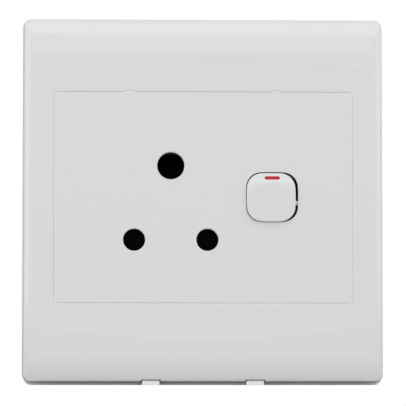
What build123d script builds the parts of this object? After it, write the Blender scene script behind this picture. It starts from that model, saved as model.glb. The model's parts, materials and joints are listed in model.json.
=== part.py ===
"""Switched wall socket for one large three-pin plug, with its clip-on cover plate.

The wall is the plane y = 0 and the room is on its -Y side. +Z is up. The origin is midway between the two box
screws, in the plane of the wall. A "height" is a distance out of the wall towards the room, and a negative
height lies inside the wall box. All sizes are in millimetres.
"""

import os
from math import cos, radians, sin, tan

from build123d import *

# Cover plate
cover_width = 125.6
cover_height = 126.9
cover_corner = 3.0
cover_wall = 2.0
cover_draft = 9.0  # degrees, of its outer sides
front_height = 10.0
top_roll = 12.6  # width of the band along the top edge where the front falls away
bottom_roll = 9.95
side_roll = 4.7
top_drop = 4.4  # fall of the front along the top edge
bottom_drop = 3.7
side_drop = 2.6
roll_lead = 5.0  # degrees, slope at which each roll begins
edge_round = 0.7
spare = 1.0  # extra length of a shape that cuts right through

# Shallow field pressed into the front of the cover
field_sink = 0.2
field_side_margin = 0.5  # between the field and the bands along the edges
field_end_margin = 0.75
field_bow = 5.0  # how far its top and bottom edges arch
field_slope = 0.4  # width of its sloping edge

# Opening and the socket front that fills it
opening_rise = 0.71  # centre of the opening above the centre of the cover
panel_width = 103.55
panel_height = 73.25
panel_corner = 1.4
panel_gap = 0.2
panel_thickness = 2.5
panel_skirt = 1.6
collar_wall = 1.0

# Backing frame
frame_thickness = 2.2
frame_inset = 0.6
frame_ledge = 0.75  # how far its lower edge shows below the cover
frame_relief = 0.5  # depth of the hollow in its back, over the mouth of the wall box
box_mouth = 98.0
cover_seat_gap = 0.2
window_left = -38.5
window_right = 40.0
window_half_height = 33.0
window_corner = 2.0
box_screw_spacing = 84.0
box_screw_radius = 1.75
box_neck_radius = 1.55  # plain shank under the head, as far as the wall
box_screw_length = 25.0
box_head_radius = 3.1
box_head_height = 2.0
box_slot_width = 4.2
box_slot_length = 8.0
locating_rim = 1.2
fit_gap = 0.2  # between parts that locate one another

# Clips, pry slots and latch lugs
clip_spread = 18.1  # either side of the centre
clip_width = 6.0
clip_thickness = 1.6
clip_hook = 0.8
clip_reach = 5.8  # height of its tip
clip_inset = 9.0  # clip inside the edge of the cover
clip_clearance = 0.25
catch_lift = 0.6  # catches above the rim of the cover
pry_width = 6.8
pry_depth = 1.0
pry_tongue_height = 5.9
latch_spread = 25.4
latch_width = 3.6
latch_rise = 0.55

# Pins of the plug
pin_spacing = 25.4
earth_rise = 25.7  # earth hole above the line of the other two
socket_x = -11.3
pin_row_z = -14.08
pin_hole_radius = 3.84
earth_hole_radius = 4.73
pin_bore_radius = 3.65
earth_bore_radius = 4.45
sleeve_wall = 0.8
hole_lead = 0.3
sleeve_slit = 0.6
ring_width = 1.8
ring_depth = 0.5
ring_inset = 2.5  # front of the spring ring behind the front of its sleeve

# Shutter
shutter_thickness = 2.5
shutter_gap = 0.3
shutter_travel = 9.2
shutter_margin = 1.1
shutter_stem = 10.0
shutter_slot = 4.4
ramp_web = 2.2
spring_radius = 1.3
spring_wire = 0.2
spring_depth = 1.8  # axis of the spring behind the front of the shutter
spring_top_z = -4.0
spring_bottom_z = -26.0
spring_turns = 11

# Rocker
rocker_x = 23.6
rocker_z = 0.82
rocker_width = 17.0
rocker_height = 16.7
rocker_corner = 5.2
rocker_bulge = 0.5
rocker_wall = 1.6
rocker_tilt = 6.0  # degrees either side of level
rocker_skirt = 2.5  # how far its sides go behind the pivot
pivot_drop = 2.0  # pivot below the middle of the rocker
pivot_height = 8.5
pivot_radius = 0.8
pivot_length = 1.3
pivot_clearance = 0.05
aperture_shift = 0.24  # opening to the right of the rocker
aperture_side_gap = 0.575  # mean gap at its sides
aperture_end_gap = 0.35
aperture_collar = 2.6
rocker_proud = 1.2  # face of the rocker in front of the socket front, in the position shown
crest_below_top = 3.6  # face ends here, and the brow slopes back to the top
brow_fall = 1.2
brow_round = 8.0
rocker_edge = 0.5
mark_length = 5.2
mark_width = 1.15
mark_corner = 0.46
mark_depth = 0.7
mark_below_top = 1.6  # from the top of the rocker down to the middle of the mark

# Switch works
stem_radius = 3.0
stem_length = 9.0
plunger_radius = 1.5
plunger_bore = 1.65
plunger_reach = 12.7
plunger_length = 7.2
plunger_nose = 1.2
plunger_spring_length = 3.2
plunger_spring_turns = 3
blade_axis_height = -6.4
blade_width = 5.0
blade_thickness = 1.0
blade_standoff = 2.0  # front of the blade before its axis
blade_upper = 11.6
blade_lower = 7.0
blade_tilt = 7.0  # degrees either side of level
lug_thickness = 0.8
lug_round = 1.4
tongue_reach = 0.75  # upright tongue in front of its axle
tongue_half_height = 1.2
tongue_slot_half = 4.0
bracket_margin = 1.0  # bracket above its lugs
axle_radius = 0.6
axle_clearance = 0.05
contact_spot = 9.5  # silver contact above the blade axis
rivet_radius = 1.6
rivet_height = 1.2
rivet_edge = 0.5
rivet_shank_radius = 0.8
rivet_tail_radius = 1.3
rivet_tail = 0.5
contact_gap = 0.05

# Conductors and terminals
strip_thickness = 0.8
strip_width = 6.0
strip_height = -9.2  # front of the flat strips
terminal_width = 8.0
terminal_depth = 8.0
terminal_length = 9.0
wire_bore_radius = 2.4
wire_bore_depth = 3.7  # wire axis behind the strip
terminal_screw_radius = 1.5
terminal_head_radius = 2.7
terminal_head_height = 2.0
terminal_backed_off = 1.6
terminal_reach = 9.4  # terminal beyond the middle of its pin
earth_terminal_reach = 11.2
terminal_well = 3.0  # how deep the housing holds each terminal

# Rear housing
housing_left = -34.5
housing_right = 38.0
housing_bottom = -30.0
housing_top = 30.2
housing_front = 4.4
housing_back = -21.6
housing_wall = 1.8
housing_corner = 2.0
pocket_wall = 1.2
pocket_clearance = 0.15
sleeve_floor_gap = 1.0  # end of the earth sleeve in front of the floor
ear_x = 43.0
ear_z = 25.0
ear_width = 7.0
ear_thickness = 2.0

# Small screws
small_screw_radius = 1.4
small_screw_grip = 3.5  # length held in the front
small_head_radius = 2.6
small_head_height = 1.6
boss_radius = 3.0
drive_width = 0.8
drive_depth = 0.8
thread_gap = 0.02

# Values worked out from the ones above
field_height = front_height - field_sink
panel_back = field_height - panel_thickness
cover_seat = frame_thickness + cover_seat_gap
earth_z = pin_row_z + earth_rise
live_x = socket_x + pin_spacing / 2
neutral_x = socket_x - pin_spacing / 2
pivot_z = rocker_z - pivot_drop
aperture_x = rocker_x + aperture_shift
aperture_width = rocker_width + 2 * aperture_side_gap
aperture_height = rocker_height + 2 * aperture_end_gap
field_half_width = cover_width / 2 - side_roll - field_side_margin
field_half_height = cover_height / 2 - top_roll - opening_rise - field_end_margin
shutter_front = panel_back - shutter_gap
shutter_back = shutter_front - shutter_thickness
shutter_half = pin_hole_radius + shutter_margin
ramp_half = shutter_travel / 2
ear_back = frame_relief - ear_thickness
strip_back = strip_height - strip_thickness
terminal_back = strip_back - terminal_depth
wire_height = strip_back - wire_bore_depth
neutral_terminal_z = pin_row_z - terminal_reach
earth_terminal_z = earth_z + earth_terminal_reach
sleeve_front = housing_front - fit_gap
earth_sleeve_front = shutter_front - shutter_travel - fit_gap
earth_sleeve_back = housing_back + housing_wall + sleeve_floor_gap
pin_sleeve_radius = pin_bore_radius + sleeve_wall
earth_sleeve_radius = earth_bore_radius + sleeve_wall
spring_height = shutter_front - spring_depth
top_radius = rocker_height / 2 + pivot_drop
mark_above_pivot = top_radius - mark_below_top
bottom_reach = rocker_height / 2 - pivot_drop
clip_z = cover_height / 2 - clip_inset
pivot = (rocker_x, -pivot_height, pivot_z)
blade_axis = (rocker_x, -blade_axis_height, pivot_z)
rivet_face = blade_standoff - blade_thickness - rivet_height
lowest_contact = (
    blade_axis_height
    + (rivet_face + rivet_edge) * cos(radians(blade_tilt))
    - (contact_spot + rivet_radius - rivet_edge) * sin(radians(blade_tilt))
    - rivet_edge
)
fixed_contact_height = lowest_contact - contact_gap
fixed_contact_z = pivot_z + contact_spot * cos(radians(blade_tilt))


def wall_plane(height):
    """Plane parallel to the wall, so far out of it, facing the room."""
    return Plane.XZ.offset(height)


def block(x, height, z, mode=Mode.ADD):
    """Box between two limits in x, in height and in z."""
    with Locations((sum(x) / 2, -sum(height) / 2, sum(z) / 2)):
        Box(abs(x[1] - x[0]), abs(height[1] - height[0]), abs(z[1] - z[0]), mode=mode)


def rod(x, z, radius, height, mode=Mode.ADD):
    """Round bar square to the wall, between two heights."""
    with BuildSketch(wall_plane(min(height))) as disc:
        with Locations((x, z)):
            Circle(radius)
    extrude(to_extrude=disc.sketch, amount=abs(height[1] - height[0]), mode=mode)


def around(x, reach):
    """Limits in x or z that lie so far either side of a middle."""
    return (x - reach, x + reach)


def save(piece, name):
    """Label the piece and write it to its own file."""
    piece.part.label = name
    export_step(piece.part, f"parts/{name}.step")


def cushion(inset):
    """Outer body of the cover, or a smaller one that lies inside it by the inset."""
    half_width = cover_width / 2 - inset
    half_height = cover_height / 2 - inset
    front = front_height - inset
    with BuildPart() as body:
        with BuildSketch(wall_plane(cover_seat)):
            RectangleRounded(2 * half_width, 2 * half_height, cover_corner - inset)
        extrude(amount=front - cover_seat + spare, taper=cover_draft)
        for plane, low, high, half, low_drop, high_drop in (
            (Plane.YZ, bottom_roll, top_roll, half_height, bottom_drop, top_drop),
            (Plane.YX, side_roll, side_roll, half_width, side_drop, side_drop),
        ):
            start_low = (-front, low - half)
            start_high = (-front, half - high)
            lead = (sin(radians(roll_lead)), cos(radians(roll_lead)))
            with BuildSketch(plane) as profile:
                with BuildLine():
                    Line(start_low, start_high)
                    rise = TangentArc(start_high, (high_drop - front, half), tangent=lead)
                    fall = TangentArc(start_low, (low_drop - front, -half), tangent=(lead[0], -lead[1]))
                    Polyline(rise @ 1, (0, half), (0, -half), fall @ 1)
                make_face()
            extrude(to_extrude=profile.sketch, amount=cover_height, both=True, mode=Mode.INTERSECT)
    return body


def on_rim(edge):
    """Tell whether an edge lies between the front of the cover and its sides."""
    middle = edge @ 0.5
    slope = front_height * tan(radians(cover_draft))
    outside = abs(middle.X) > cover_width / 2 - slope or abs(middle.Z) > cover_height / 2 - slope
    return outside and min(-(edge @ 0).Y, -(edge @ 1).Y) > cover_seat + edge_round / 2


def barrel(inset):
    """Outline of the sunk field: straight sides, arched top and bottom."""
    half_width = field_half_width - inset
    corner = field_half_height - field_bow - inset
    crown = field_half_height - inset
    low_left = (-half_width, opening_rise - corner)
    high_left = (-half_width, opening_rise + corner)
    low_right = (half_width, opening_rise - corner)
    high_right = (half_width, opening_rise + corner)
    with BuildLine() as outline:
        Line(low_left, high_left)
        ThreePointArc(high_left, (0, opening_rise + crown), high_right)
        Line(high_right, low_right)
        ThreePointArc(low_right, (0, opening_rise - crown), low_left)
    make_face(outline.edges())


def squircle(width, height, corner):
    """Outline with bulging sides and large round corners, about the origin of the plane."""
    x = width / 2
    z = height / 2
    in_x = x - rocker_bulge
    in_z = z - rocker_bulge
    with BuildLine() as outline:
        ThreePointArc((-in_x, -in_z), (-x, 0), (-in_x, in_z))
        ThreePointArc((-in_x, in_z), (0, z), (in_x, in_z))
        ThreePointArc((in_x, in_z), (x, 0), (in_x, -in_z))
        ThreePointArc((in_x, -in_z), (0, -z), (-in_x, -in_z))
    face = make_face(outline.edges())
    fillet(face.vertices(), corner)


def squircle_plane(x, z, height):
    """Wall plane with its own origin moved to a point of the front."""
    return Plane(origin=(x, -height, z), x_dir=(1, 0, 0), z_dir=(0, -1, 0))


def screw(x, z, seat, shank_radius, length, head_radius, head_height, facing):
    """Slotted round-headed screw; facing is 1 when its head looks to the room, -1 when it looks inwards."""
    rod(x, z, shank_radius, (seat, seat - facing * length))
    rod(x, z, head_radius, (seat, seat + facing * head_height))
    top = seat + facing * head_height
    slot = (top, top - facing * drive_depth)
    block(around(x, head_radius), slot, around(z, drive_width / 2), Mode.SUBTRACT)


def coil(start, radius, wire, length, turns, direction):
    """Round-wire compression spring that starts at a point and runs in a direction."""
    with BuildPart() as spring:
        with BuildLine() as path:
            Helix(length / turns, length, radius, center=start, direction=direction)
        with BuildSketch(Plane(origin=path.line @ 0, z_dir=path.line % 0)):
            Circle(wire)
        sweep(is_frenet=True)
    return spring


os.makedirs("parts", exist_ok=True)

# Cover plate: domed shell, collar round the opening and the catches for the clips
outer = cushion(0)
inner = cushion(cover_wall)
limit = cushion(cover_wall / 2)
opening_half_width = panel_width / 2 + panel_gap
opening_half_height = panel_height / 2 + panel_gap
opening_z = around(opening_rise, opening_half_height)
catch_base = cover_seat + catch_lift
catch_top = clip_reach - clip_hook - clip_clearance

with BuildPart() as cover_fittings:
    block(
        around(0, opening_half_width + collar_wall),
        (frame_thickness, field_height),
        around(opening_rise, opening_half_height + collar_wall),
    )
    for side in (-1, 1):
        for x in (-clip_spread, clip_spread):
            outside = side * cover_height / 2
            inside = side * (clip_z + clip_thickness / 2 + clip_clearance)
            block(around(x, clip_width / 2 + pocket_wall), (catch_base, catch_top), (inside, outside))
            for rib_side in (-1, 1):
                rib_x = x + rib_side * (clip_width / 2 + clip_clearance + pocket_wall / 2)
                block(around(rib_x, pocket_wall / 2), (catch_base, front_height), (inside, outside))
    add(limit.part, mode=Mode.INTERSECT)
    block(
        around(0, opening_half_width + collar_wall),
        (frame_thickness, cover_seat),
        around(opening_rise, opening_half_height + collar_wall),
    )

with BuildPart() as cover_plate:
    add(outer.part)
    fillet(cover_plate.edges().filter_by(on_rim), edge_round)
    add(inner.part, mode=Mode.SUBTRACT)
    add(cover_fittings.part)
    with BuildSketch(wall_plane(0)):
        with Locations((0, opening_rise)):
            RectangleRounded(2 * opening_half_width, 2 * opening_half_height, panel_corner + panel_gap)
    extrude(amount=front_height + spare, mode=Mode.SUBTRACT)
    for x in (-latch_spread, latch_spread):
        block(
            around(x, latch_width / 2 + panel_gap),
            (panel_back - fit_gap, front_height + spare),
            (opening_rise, opening_z[1] + latch_rise),
            Mode.SUBTRACT,
        )
    with BuildSketch(wall_plane(front_height)):
        barrel(0)
    with BuildSketch(wall_plane(field_height)):
        barrel(field_slope)
    loft(mode=Mode.SUBTRACT)
    for x in (-clip_spread, clip_spread):
        block(
            around(x, pry_width / 2),
            (0, front_height - bottom_drop + fit_gap),
            (-cover_height / 2 - spare, -cover_height / 2 + pry_depth),
            Mode.SUBTRACT,
        )
save(cover_plate, "cover_plate")

# Backing frame: flat ring against the wall, with the clips, the pry tongues and the screw slots
frame_bottom = -cover_height / 2 - frame_ledge
frame_top = cover_height / 2 - frame_inset
frame_half_width = cover_width / 2 - frame_inset
skirt_inner_width = panel_width / 2 - panel_skirt
skirt_inner_height = panel_height / 2 - panel_skirt

with BuildPart() as backing_frame:
    with BuildSketch(wall_plane(0)):
        with Locations((0, (frame_top + frame_bottom) / 2)):
            RectangleRounded(2 * frame_half_width, frame_top - frame_bottom, cover_corner - frame_inset)
    extrude(amount=frame_thickness)
    block(
        around(0, skirt_inner_width - fit_gap),
        (frame_thickness, frame_thickness + locating_rim),
        around(opening_rise, skirt_inner_height - fit_gap),
    )
    block(
        around(0, skirt_inner_width - fit_gap - locating_rim),
        (frame_thickness, frame_thickness + locating_rim),
        around(opening_rise, skirt_inner_height - fit_gap - locating_rim),
        Mode.SUBTRACT,
    )
    for x in (-clip_spread, clip_spread):
        for side in (-1, 1):
            near = side * clip_z
            block(around(x, clip_width / 2), (0, clip_reach), around(near, clip_thickness / 2))
            hook = (near, near + side * (clip_thickness / 2 + clip_hook))
            block(around(x, clip_width / 2), (clip_reach - clip_hook, clip_reach), hook)
        tongue = (frame_bottom, -cover_height / 2 + pry_depth - clip_clearance)
        block(around(x, clip_width / 2), (0, pry_tongue_height), tongue)
    block(around(0, box_mouth / 2), (0, frame_relief), around(0, box_mouth / 2), Mode.SUBTRACT)
    with BuildSketch(wall_plane(0)):
        with Locations(((window_left + window_right) / 2, 0)):
            RectangleRounded(window_right - window_left, 2 * window_half_height, window_corner)
    extrude(amount=frame_thickness, mode=Mode.SUBTRACT)
    with BuildSketch(wall_plane(0)):
        with Locations((0, box_screw_spacing / 2), (0, -box_screw_spacing / 2)):
            SlotOverall(box_slot_length, box_slot_width)
        for x in (-ear_x, ear_x):
            for z in (-ear_z, ear_z):
                with Locations((x, z)):
                    Circle(small_screw_radius + fit_gap)
    extrude(amount=frame_thickness, mode=Mode.SUBTRACT)
save(backing_frame, "backing_frame")

# Socket front: shallow tray with the pin holes, the rocker opening, the shutter guides and the screw bosses
shutter_left = neutral_x - shutter_half
shutter_right = live_x + shutter_half
pad_z = around(pin_row_z, shutter_half)
guide_height = (shutter_back, panel_back)

with BuildPart() as face_panel:
    with BuildSketch(wall_plane(frame_thickness)):
        with Locations((0, opening_rise)):
            RectangleRounded(panel_width, panel_height, panel_corner)
    extrude(amount=field_height - frame_thickness)
    with BuildSketch(wall_plane(frame_thickness)):
        with Locations((0, opening_rise)):
            Rectangle(2 * skirt_inner_width, 2 * skirt_inner_height)
    extrude(amount=panel_back - frame_thickness, mode=Mode.SUBTRACT)
    for x in (-latch_spread, latch_spread):
        block(
            around(x, latch_width / 2),
            (panel_back, field_height),
            (opening_rise, opening_rise + panel_height / 2 + latch_rise),
        )
    collar_width = aperture_width + 2 * pocket_wall
    collar_height = aperture_height + 2 * pocket_wall
    with BuildSketch(squircle_plane(aperture_x, rocker_z, panel_back - aperture_collar)):
        squircle(collar_width, collar_height, rocker_corner + pocket_wall)
    extrude(amount=aperture_collar)
    with BuildSketch(squircle_plane(aperture_x, rocker_z, frame_thickness)):
        squircle(aperture_width, aperture_height, rocker_corner)
    extrude(amount=front_height, mode=Mode.SUBTRACT)
    pivot_bore = rocker_width + 2 * pivot_length + 2 * fit_gap
    with Locations(Location(pivot, (0, 90, 0))):
        Cylinder(pivot_radius + pivot_clearance, pivot_bore, mode=Mode.SUBTRACT)
    for x in (shutter_left - fit_gap - pocket_wall / 2, shutter_right + fit_gap + pocket_wall / 2):
        block(around(x, pocket_wall / 2), guide_height, (pad_z[0], pad_z[1]))
        stop_end = x + (2 * pocket_wall if x < socket_x else -2 * pocket_wall)
        block((x, stop_end), guide_height, (pad_z[1], pad_z[1] + pocket_wall))
    for side in (-1, 1):
        x = socket_x + side * (shutter_stem / 2 + fit_gap + pocket_wall / 2)
        block(around(x, pocket_wall / 2), guide_height, (pad_z[1] + pocket_wall, earth_z - ramp_half))
    block(
        around(socket_x, shutter_slot / 2 - 2 * fit_gap),
        (spring_height - spring_radius - spring_wire, panel_back),
        (spring_bottom_z - pocket_wall, spring_bottom_z),
    )
    for x in (-ear_x, ear_x):
        for z in (-ear_z, ear_z):
            rod(x, z, boss_radius, (frame_thickness, panel_back))
            rod(x, z, small_screw_radius + thread_gap, (0, frame_thickness + small_screw_grip), Mode.SUBTRACT)
    for x, z, radius in (
        (neutral_x, pin_row_z, pin_hole_radius),
        (live_x, pin_row_z, pin_hole_radius),
        (socket_x, earth_z, earth_hole_radius),
    ):
        rod(x, z, radius, (shutter_back, field_height), Mode.SUBTRACT)
        with BuildSketch(wall_plane(field_height)):
            with Locations((x, z)):
                Circle(radius + hole_lead)
        extrude(amount=-hole_lead, taper=45, mode=Mode.SUBTRACT)
save(face_panel, "face_panel")

# Shutter: two pads over the pin holes, a ramp in the way of the earth pin and a slot for its spring
with BuildPart() as shutter:
    block((shutter_left, shutter_right), (shutter_back, shutter_front), pad_z)
    block(
        around(socket_x, shutter_stem / 2),
        (shutter_back, shutter_front),
        (pad_z[0], earth_z - ramp_half),
    )
    block(
        around(socket_x, shutter_slot / 2),
        (shutter_back, shutter_front),
        (pad_z[0], spring_top_z),
        Mode.SUBTRACT,
    )
    low = earth_z - ramp_half
    deep = shutter_front - shutter_travel
    with BuildSketch(Plane.YZ.offset(socket_x)):
        with BuildLine():
            Polyline(
                (-shutter_front, low - shutter_thickness),
                (-shutter_front, low),
                (-deep, low + shutter_travel),
                (-deep, low + shutter_travel - ramp_web),
                (-shutter_back, low + shutter_thickness - ramp_web),
                (-shutter_back, low - shutter_thickness),
                close=True,
            )
        make_face()
    extrude(amount=earth_hole_radius - 2 * fit_gap, both=True)
save(shutter, "shutter")

shutter_spring = coil(
    (socket_x, -spring_height, spring_bottom_z + spring_wire),
    spring_radius,
    spring_wire,
    spring_top_z - spring_bottom_z - 2 * spring_wire,
    spring_turns,
    (0, 0, 1),
)
save(shutter_spring, "shutter_spring")


def pin_sleeve(x, z, bore, front, back, name):
    """Slit brass tube that grips one pin, with a groove for its spring ring."""
    with BuildPart() as sleeve:
        rod(x, z, bore + sleeve_wall, (back, front))
        rod(x, z, bore, (back, front), Mode.SUBTRACT)
        slit = (front - 3 * ring_inset, front)
        block(around(x, bore + 2 * sleeve_wall), slit, around(z, sleeve_slit / 2), Mode.SUBTRACT)
        groove = around(front - ring_inset, ring_width / 2)
        with BuildSketch(wall_plane(groove[0])):
            with Locations((x, z)):
                Circle(bore + 2 * sleeve_wall)
                Circle(bore + sleeve_wall - ring_depth, mode=Mode.SUBTRACT)
        extrude(amount=ring_width, mode=Mode.SUBTRACT)
    save(sleeve, name + "_sleeve")
    with BuildPart() as ring:
        rod(x, z, bore + sleeve_wall, groove)
        rod(x, z, bore + sleeve_wall - ring_depth, groove, Mode.SUBTRACT)
        block(around(x, sleeve_slit), groove, (z, z + bore + 2 * sleeve_wall), Mode.SUBTRACT)
    save(ring, name + "_spring_ring")


pin_sleeve(neutral_x, pin_row_z, pin_bore_radius, sleeve_front, strip_height, "neutral")
pin_sleeve(live_x, pin_row_z, pin_bore_radius, sleeve_front, strip_height, "live")
pin_sleeve(socket_x, earth_z, earth_bore_radius, earth_sleeve_front, earth_sleeve_back, "earth")


def terminal(x, z, name):
    """Brass block with a bore for the wire, open on one side, and its clamping screw."""
    limits_z = around(z, terminal_length / 2)
    with BuildPart() as brass:
        block(around(x, terminal_width / 2), (terminal_back, strip_back), limits_z)
        with Locations((x, -wire_height, z)):
            Cylinder(wire_bore_radius, terminal_length, mode=Mode.SUBTRACT)
        rod(x, z, terminal_screw_radius + thread_gap, (terminal_back, wire_height), Mode.SUBTRACT)
    save(brass, name + "_terminal")
    with BuildPart() as clamp:
        tip = wire_height - wire_bore_radius - thread_gap
        head = terminal_back - terminal_backed_off
        screw(x, z, head, terminal_screw_radius, tip - head, terminal_head_radius, terminal_head_height, -1)
    save(clamp, name + "_terminal_screw")


terminal(neutral_x, neutral_terminal_z, "neutral")
terminal(rocker_x, neutral_terminal_z, "line")
terminal(socket_x, earth_terminal_z, "earth")

# Flat brass strips from the sleeves to the terminals and the switch
with BuildPart() as neutral_strap:
    rod(neutral_x, pin_row_z, pin_sleeve_radius, (strip_back, strip_height))
    block(
        around(neutral_x, strip_width / 2),
        (strip_back, strip_height),
        (neutral_terminal_z - terminal_length / 2, pin_row_z),
    )
save(neutral_strap, "neutral_strap")

with BuildPart() as earth_strap:
    rod(socket_x, earth_z, earth_sleeve_radius + ramp_web, (strip_back, strip_height))
    block(
        around(socket_x, strip_width / 2),
        (strip_back, strip_height),
        (earth_z, earth_terminal_z + terminal_length / 2),
    )
    rod(socket_x, earth_z, earth_sleeve_radius, (strip_back, strip_height), Mode.SUBTRACT)
save(earth_strap, "earth_strap")

with BuildPart() as live_strap:
    rod(live_x, pin_row_z, pin_sleeve_radius, (strip_back, strip_height))
    block(
        around(live_x, strip_width / 2),
        (strip_back, strip_height),
        (pin_row_z, fixed_contact_z + strip_width / 2),
    )
    block(
        (live_x - strip_width / 2, rocker_x + strip_width / 2),
        (strip_back, strip_height),
        around(fixed_contact_z, strip_width / 2),
    )
save(live_strap, "live_strap")

with BuildPart() as fixed_contact:
    rod(rocker_x, fixed_contact_z, rivet_radius, (strip_height, fixed_contact_height))
save(fixed_contact, "fixed_contact")

# Line bracket: strip from its terminal, with an upright tongue that carries the axle of the blade
tongue_half = blade_width / 2 - lug_thickness - pocket_clearance
with BuildPart() as line_bracket:
    block(
        around(rocker_x, strip_width / 2),
        (strip_back, strip_height),
        (neutral_terminal_z - terminal_length / 2, pivot_z + lug_round + bracket_margin),
    )
    block(
        around(rocker_x, tongue_half),
        (strip_height, blade_axis_height + tongue_reach),
        around(pivot_z, tongue_half_height),
    )
    with Locations(Location(blade_axis, (0, 90, 0))):
        Cylinder(axle_radius + thread_gap, blade_width, mode=Mode.SUBTRACT)
save(line_bracket, "line_bracket")

with BuildPart() as blade_axle:
    with Locations(Location(blade_axis, (0, 90, 0))):
        Cylinder(axle_radius, blade_width)
save(blade_axle, "blade_axle")

# Rocking blade and its silver rivet, turned to the closed position
blade_front = blade_axis_height + blade_standoff
blade_back = blade_front - blade_thickness
with BuildPart() as contact_blade:
    block(
        around(rocker_x, blade_width / 2),
        (blade_back, blade_front),
        (pivot_z - blade_lower, pivot_z + blade_upper),
    )
    with BuildSketch(Plane.YZ.offset(rocker_x - blade_width / 2)):
        with Locations((-blade_axis_height, pivot_z)):
            Circle(lug_round)
        with Locations((-(blade_axis_height + blade_back) / 2, pivot_z)):
            Rectangle(blade_back - blade_axis_height, 2 * lug_round)
    extrude(amount=blade_width)
    block(
        around(rocker_x, tongue_half + pocket_clearance),
        (blade_back, strip_height),
        around(pivot_z, tongue_slot_half),
        Mode.SUBTRACT,
    )
    with Locations(Location(blade_axis, (0, 90, 0))):
        Cylinder(axle_radius + axle_clearance, 2 * blade_width, mode=Mode.SUBTRACT)
    rod(rocker_x, pivot_z + contact_spot, rivet_shank_radius, (blade_back, 0), Mode.SUBTRACT)
closed_blade = contact_blade.part.rotate(Axis(blade_axis, (1, 0, 0)), -blade_tilt)
closed_blade.label = "contact_blade"
export_step(closed_blade, "parts/contact_blade.step")

with BuildPart() as blade_rivet:
    rod(rocker_x, pivot_z + contact_spot, rivet_radius, (blade_back - rivet_height, blade_back))
    face_edge = blade_rivet.edges().filter_by(GeomType.CIRCLE).sort_by(Axis.Y)[-1]
    fillet(face_edge, rivet_edge)
    rod(rocker_x, pivot_z + contact_spot, rivet_shank_radius, (blade_back, blade_front))
    rod(rocker_x, pivot_z + contact_spot, rivet_tail_radius, (blade_front, blade_front + rivet_tail))
closed_rivet = blade_rivet.part.rotate(Axis(blade_axis, (1, 0, 0)), -blade_tilt)
closed_rivet.label = "blade_rivet"
export_step(closed_rivet, "parts/blade_rivet.step")

# Rocker: dished front over a hollow back, with its pivots, its stem and the coloured mark
def face_reach(up):
    """How far the face stands in front of the pivot line, so far above the pivot, on a level rocker.

    The face is parallel to the wall in the position shown, so on a level rocker it slopes.
    """
    tilt = radians(rocker_tilt)
    return (field_height + rocker_proud - pivot_height - up * sin(tilt)) / cos(tilt)


crest_up = top_radius - crest_below_top
brow_reach = face_reach(crest_up) - brow_fall
skirt_back = -rocker_skirt
rocker_back = pivot_height - rocker_skirt - spare
top_brow = (top_radius**2 - brow_reach**2) ** 0.5
top_skirt = (top_radius**2 - rocker_skirt**2) ** 0.5
bottom_skirt = -((bottom_reach**2 - rocker_skirt**2) ** 0.5)


def at_reach(reach, up):
    """Point of the side view, so far in front of the pivot and so far above it."""
    return (-(pivot_height + reach), pivot_z + up)


with BuildPart() as rocker_body:
    with BuildSketch(Plane.YZ.offset(rocker_x)) as side_view:
        with BuildLine():
            ThreePointArc(
                at_reach(skirt_back, top_skirt),
                at_reach(0, top_radius),
                at_reach(brow_reach, top_brow),
            )
            Line(at_reach(brow_reach, top_brow), at_reach(face_reach(crest_up), crest_up))
            Line(at_reach(face_reach(crest_up), crest_up), at_reach(face_reach(-bottom_reach), -bottom_reach))
            Line(at_reach(face_reach(-bottom_reach), -bottom_reach), at_reach(0, -bottom_reach))
            TangentArc(at_reach(0, -bottom_reach), at_reach(skirt_back, bottom_skirt), tangent=(1, 0))
            Line(at_reach(skirt_back, bottom_skirt), at_reach(skirt_back, top_skirt))
        make_face()
    extrude(amount=rocker_width / 2, both=True)
    crest = rocker_body.edges().filter_by(Axis.X).sort_by(Axis.Y)[1]
    fillet(crest, brow_round)
    with BuildSketch(squircle_plane(rocker_x, rocker_z, rocker_back)):
        squircle(rocker_width, rocker_height, rocker_corner)
    extrude(amount=2 * pivot_height, mode=Mode.INTERSECT)
    fillet(rocker_body.faces().sort_by(Axis.Y)[0].outer_wire().edges(), rocker_edge)

hollow_front = pivot_height + brow_reach - rocker_wall + mark_depth
mark_z = pivot_z + mark_above_pivot
mark_floor = pivot_height + (face_reach(crest_up) + brow_reach) / 2 - mark_depth

with BuildPart() as red_indicator:
    with BuildSketch(squircle_plane(rocker_x, mark_z, mark_floor)):
        RectangleRounded(mark_length, mark_width, mark_corner)
    extrude(amount=rocker_skirt)
    add(rocker_body.part, mode=Mode.INTERSECT)

with BuildPart() as rocker:
    add(rocker_body.part)
    add(red_indicator.part, mode=Mode.SUBTRACT)
    with BuildSketch(squircle_plane(rocker_x, rocker_z, rocker_back)):
        squircle(rocker_width - 2 * rocker_wall, rocker_height - 2 * rocker_wall, rocker_corner - rocker_wall)
    extrude(amount=hollow_front - rocker_back, mode=Mode.SUBTRACT)
    rod(rocker_x, pivot_z, stem_radius, (pivot_height - stem_length, hollow_front))
    with Locations(Location(pivot, (0, 90, 0))):
        Cylinder(pivot_radius, rocker_width + 2 * pivot_length)
    bore_end = pivot_height - plunger_reach + plunger_length + plunger_spring_length
    rod(rocker_x, pivot_z, plunger_bore, (pivot_height - stem_length, bore_end), Mode.SUBTRACT)

with BuildPart() as plunger:
    tip = pivot_height - plunger_reach
    rod(rocker_x, pivot_z, plunger_radius, (tip, tip + plunger_length))
    nose = plunger.edges().filter_by(GeomType.CIRCLE).sort_by(Axis.Y)[-1]
    fillet(nose, plunger_nose)

plunger_spring = coil(
    (rocker_x, -(bore_end - spring_wire), pivot_z),
    plunger_bore - 2 * spring_wire,
    spring_wire,
    plunger_spring_length - 2 * spring_wire,
    plunger_spring_turns,
    (0, 1, 0),
)

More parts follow.
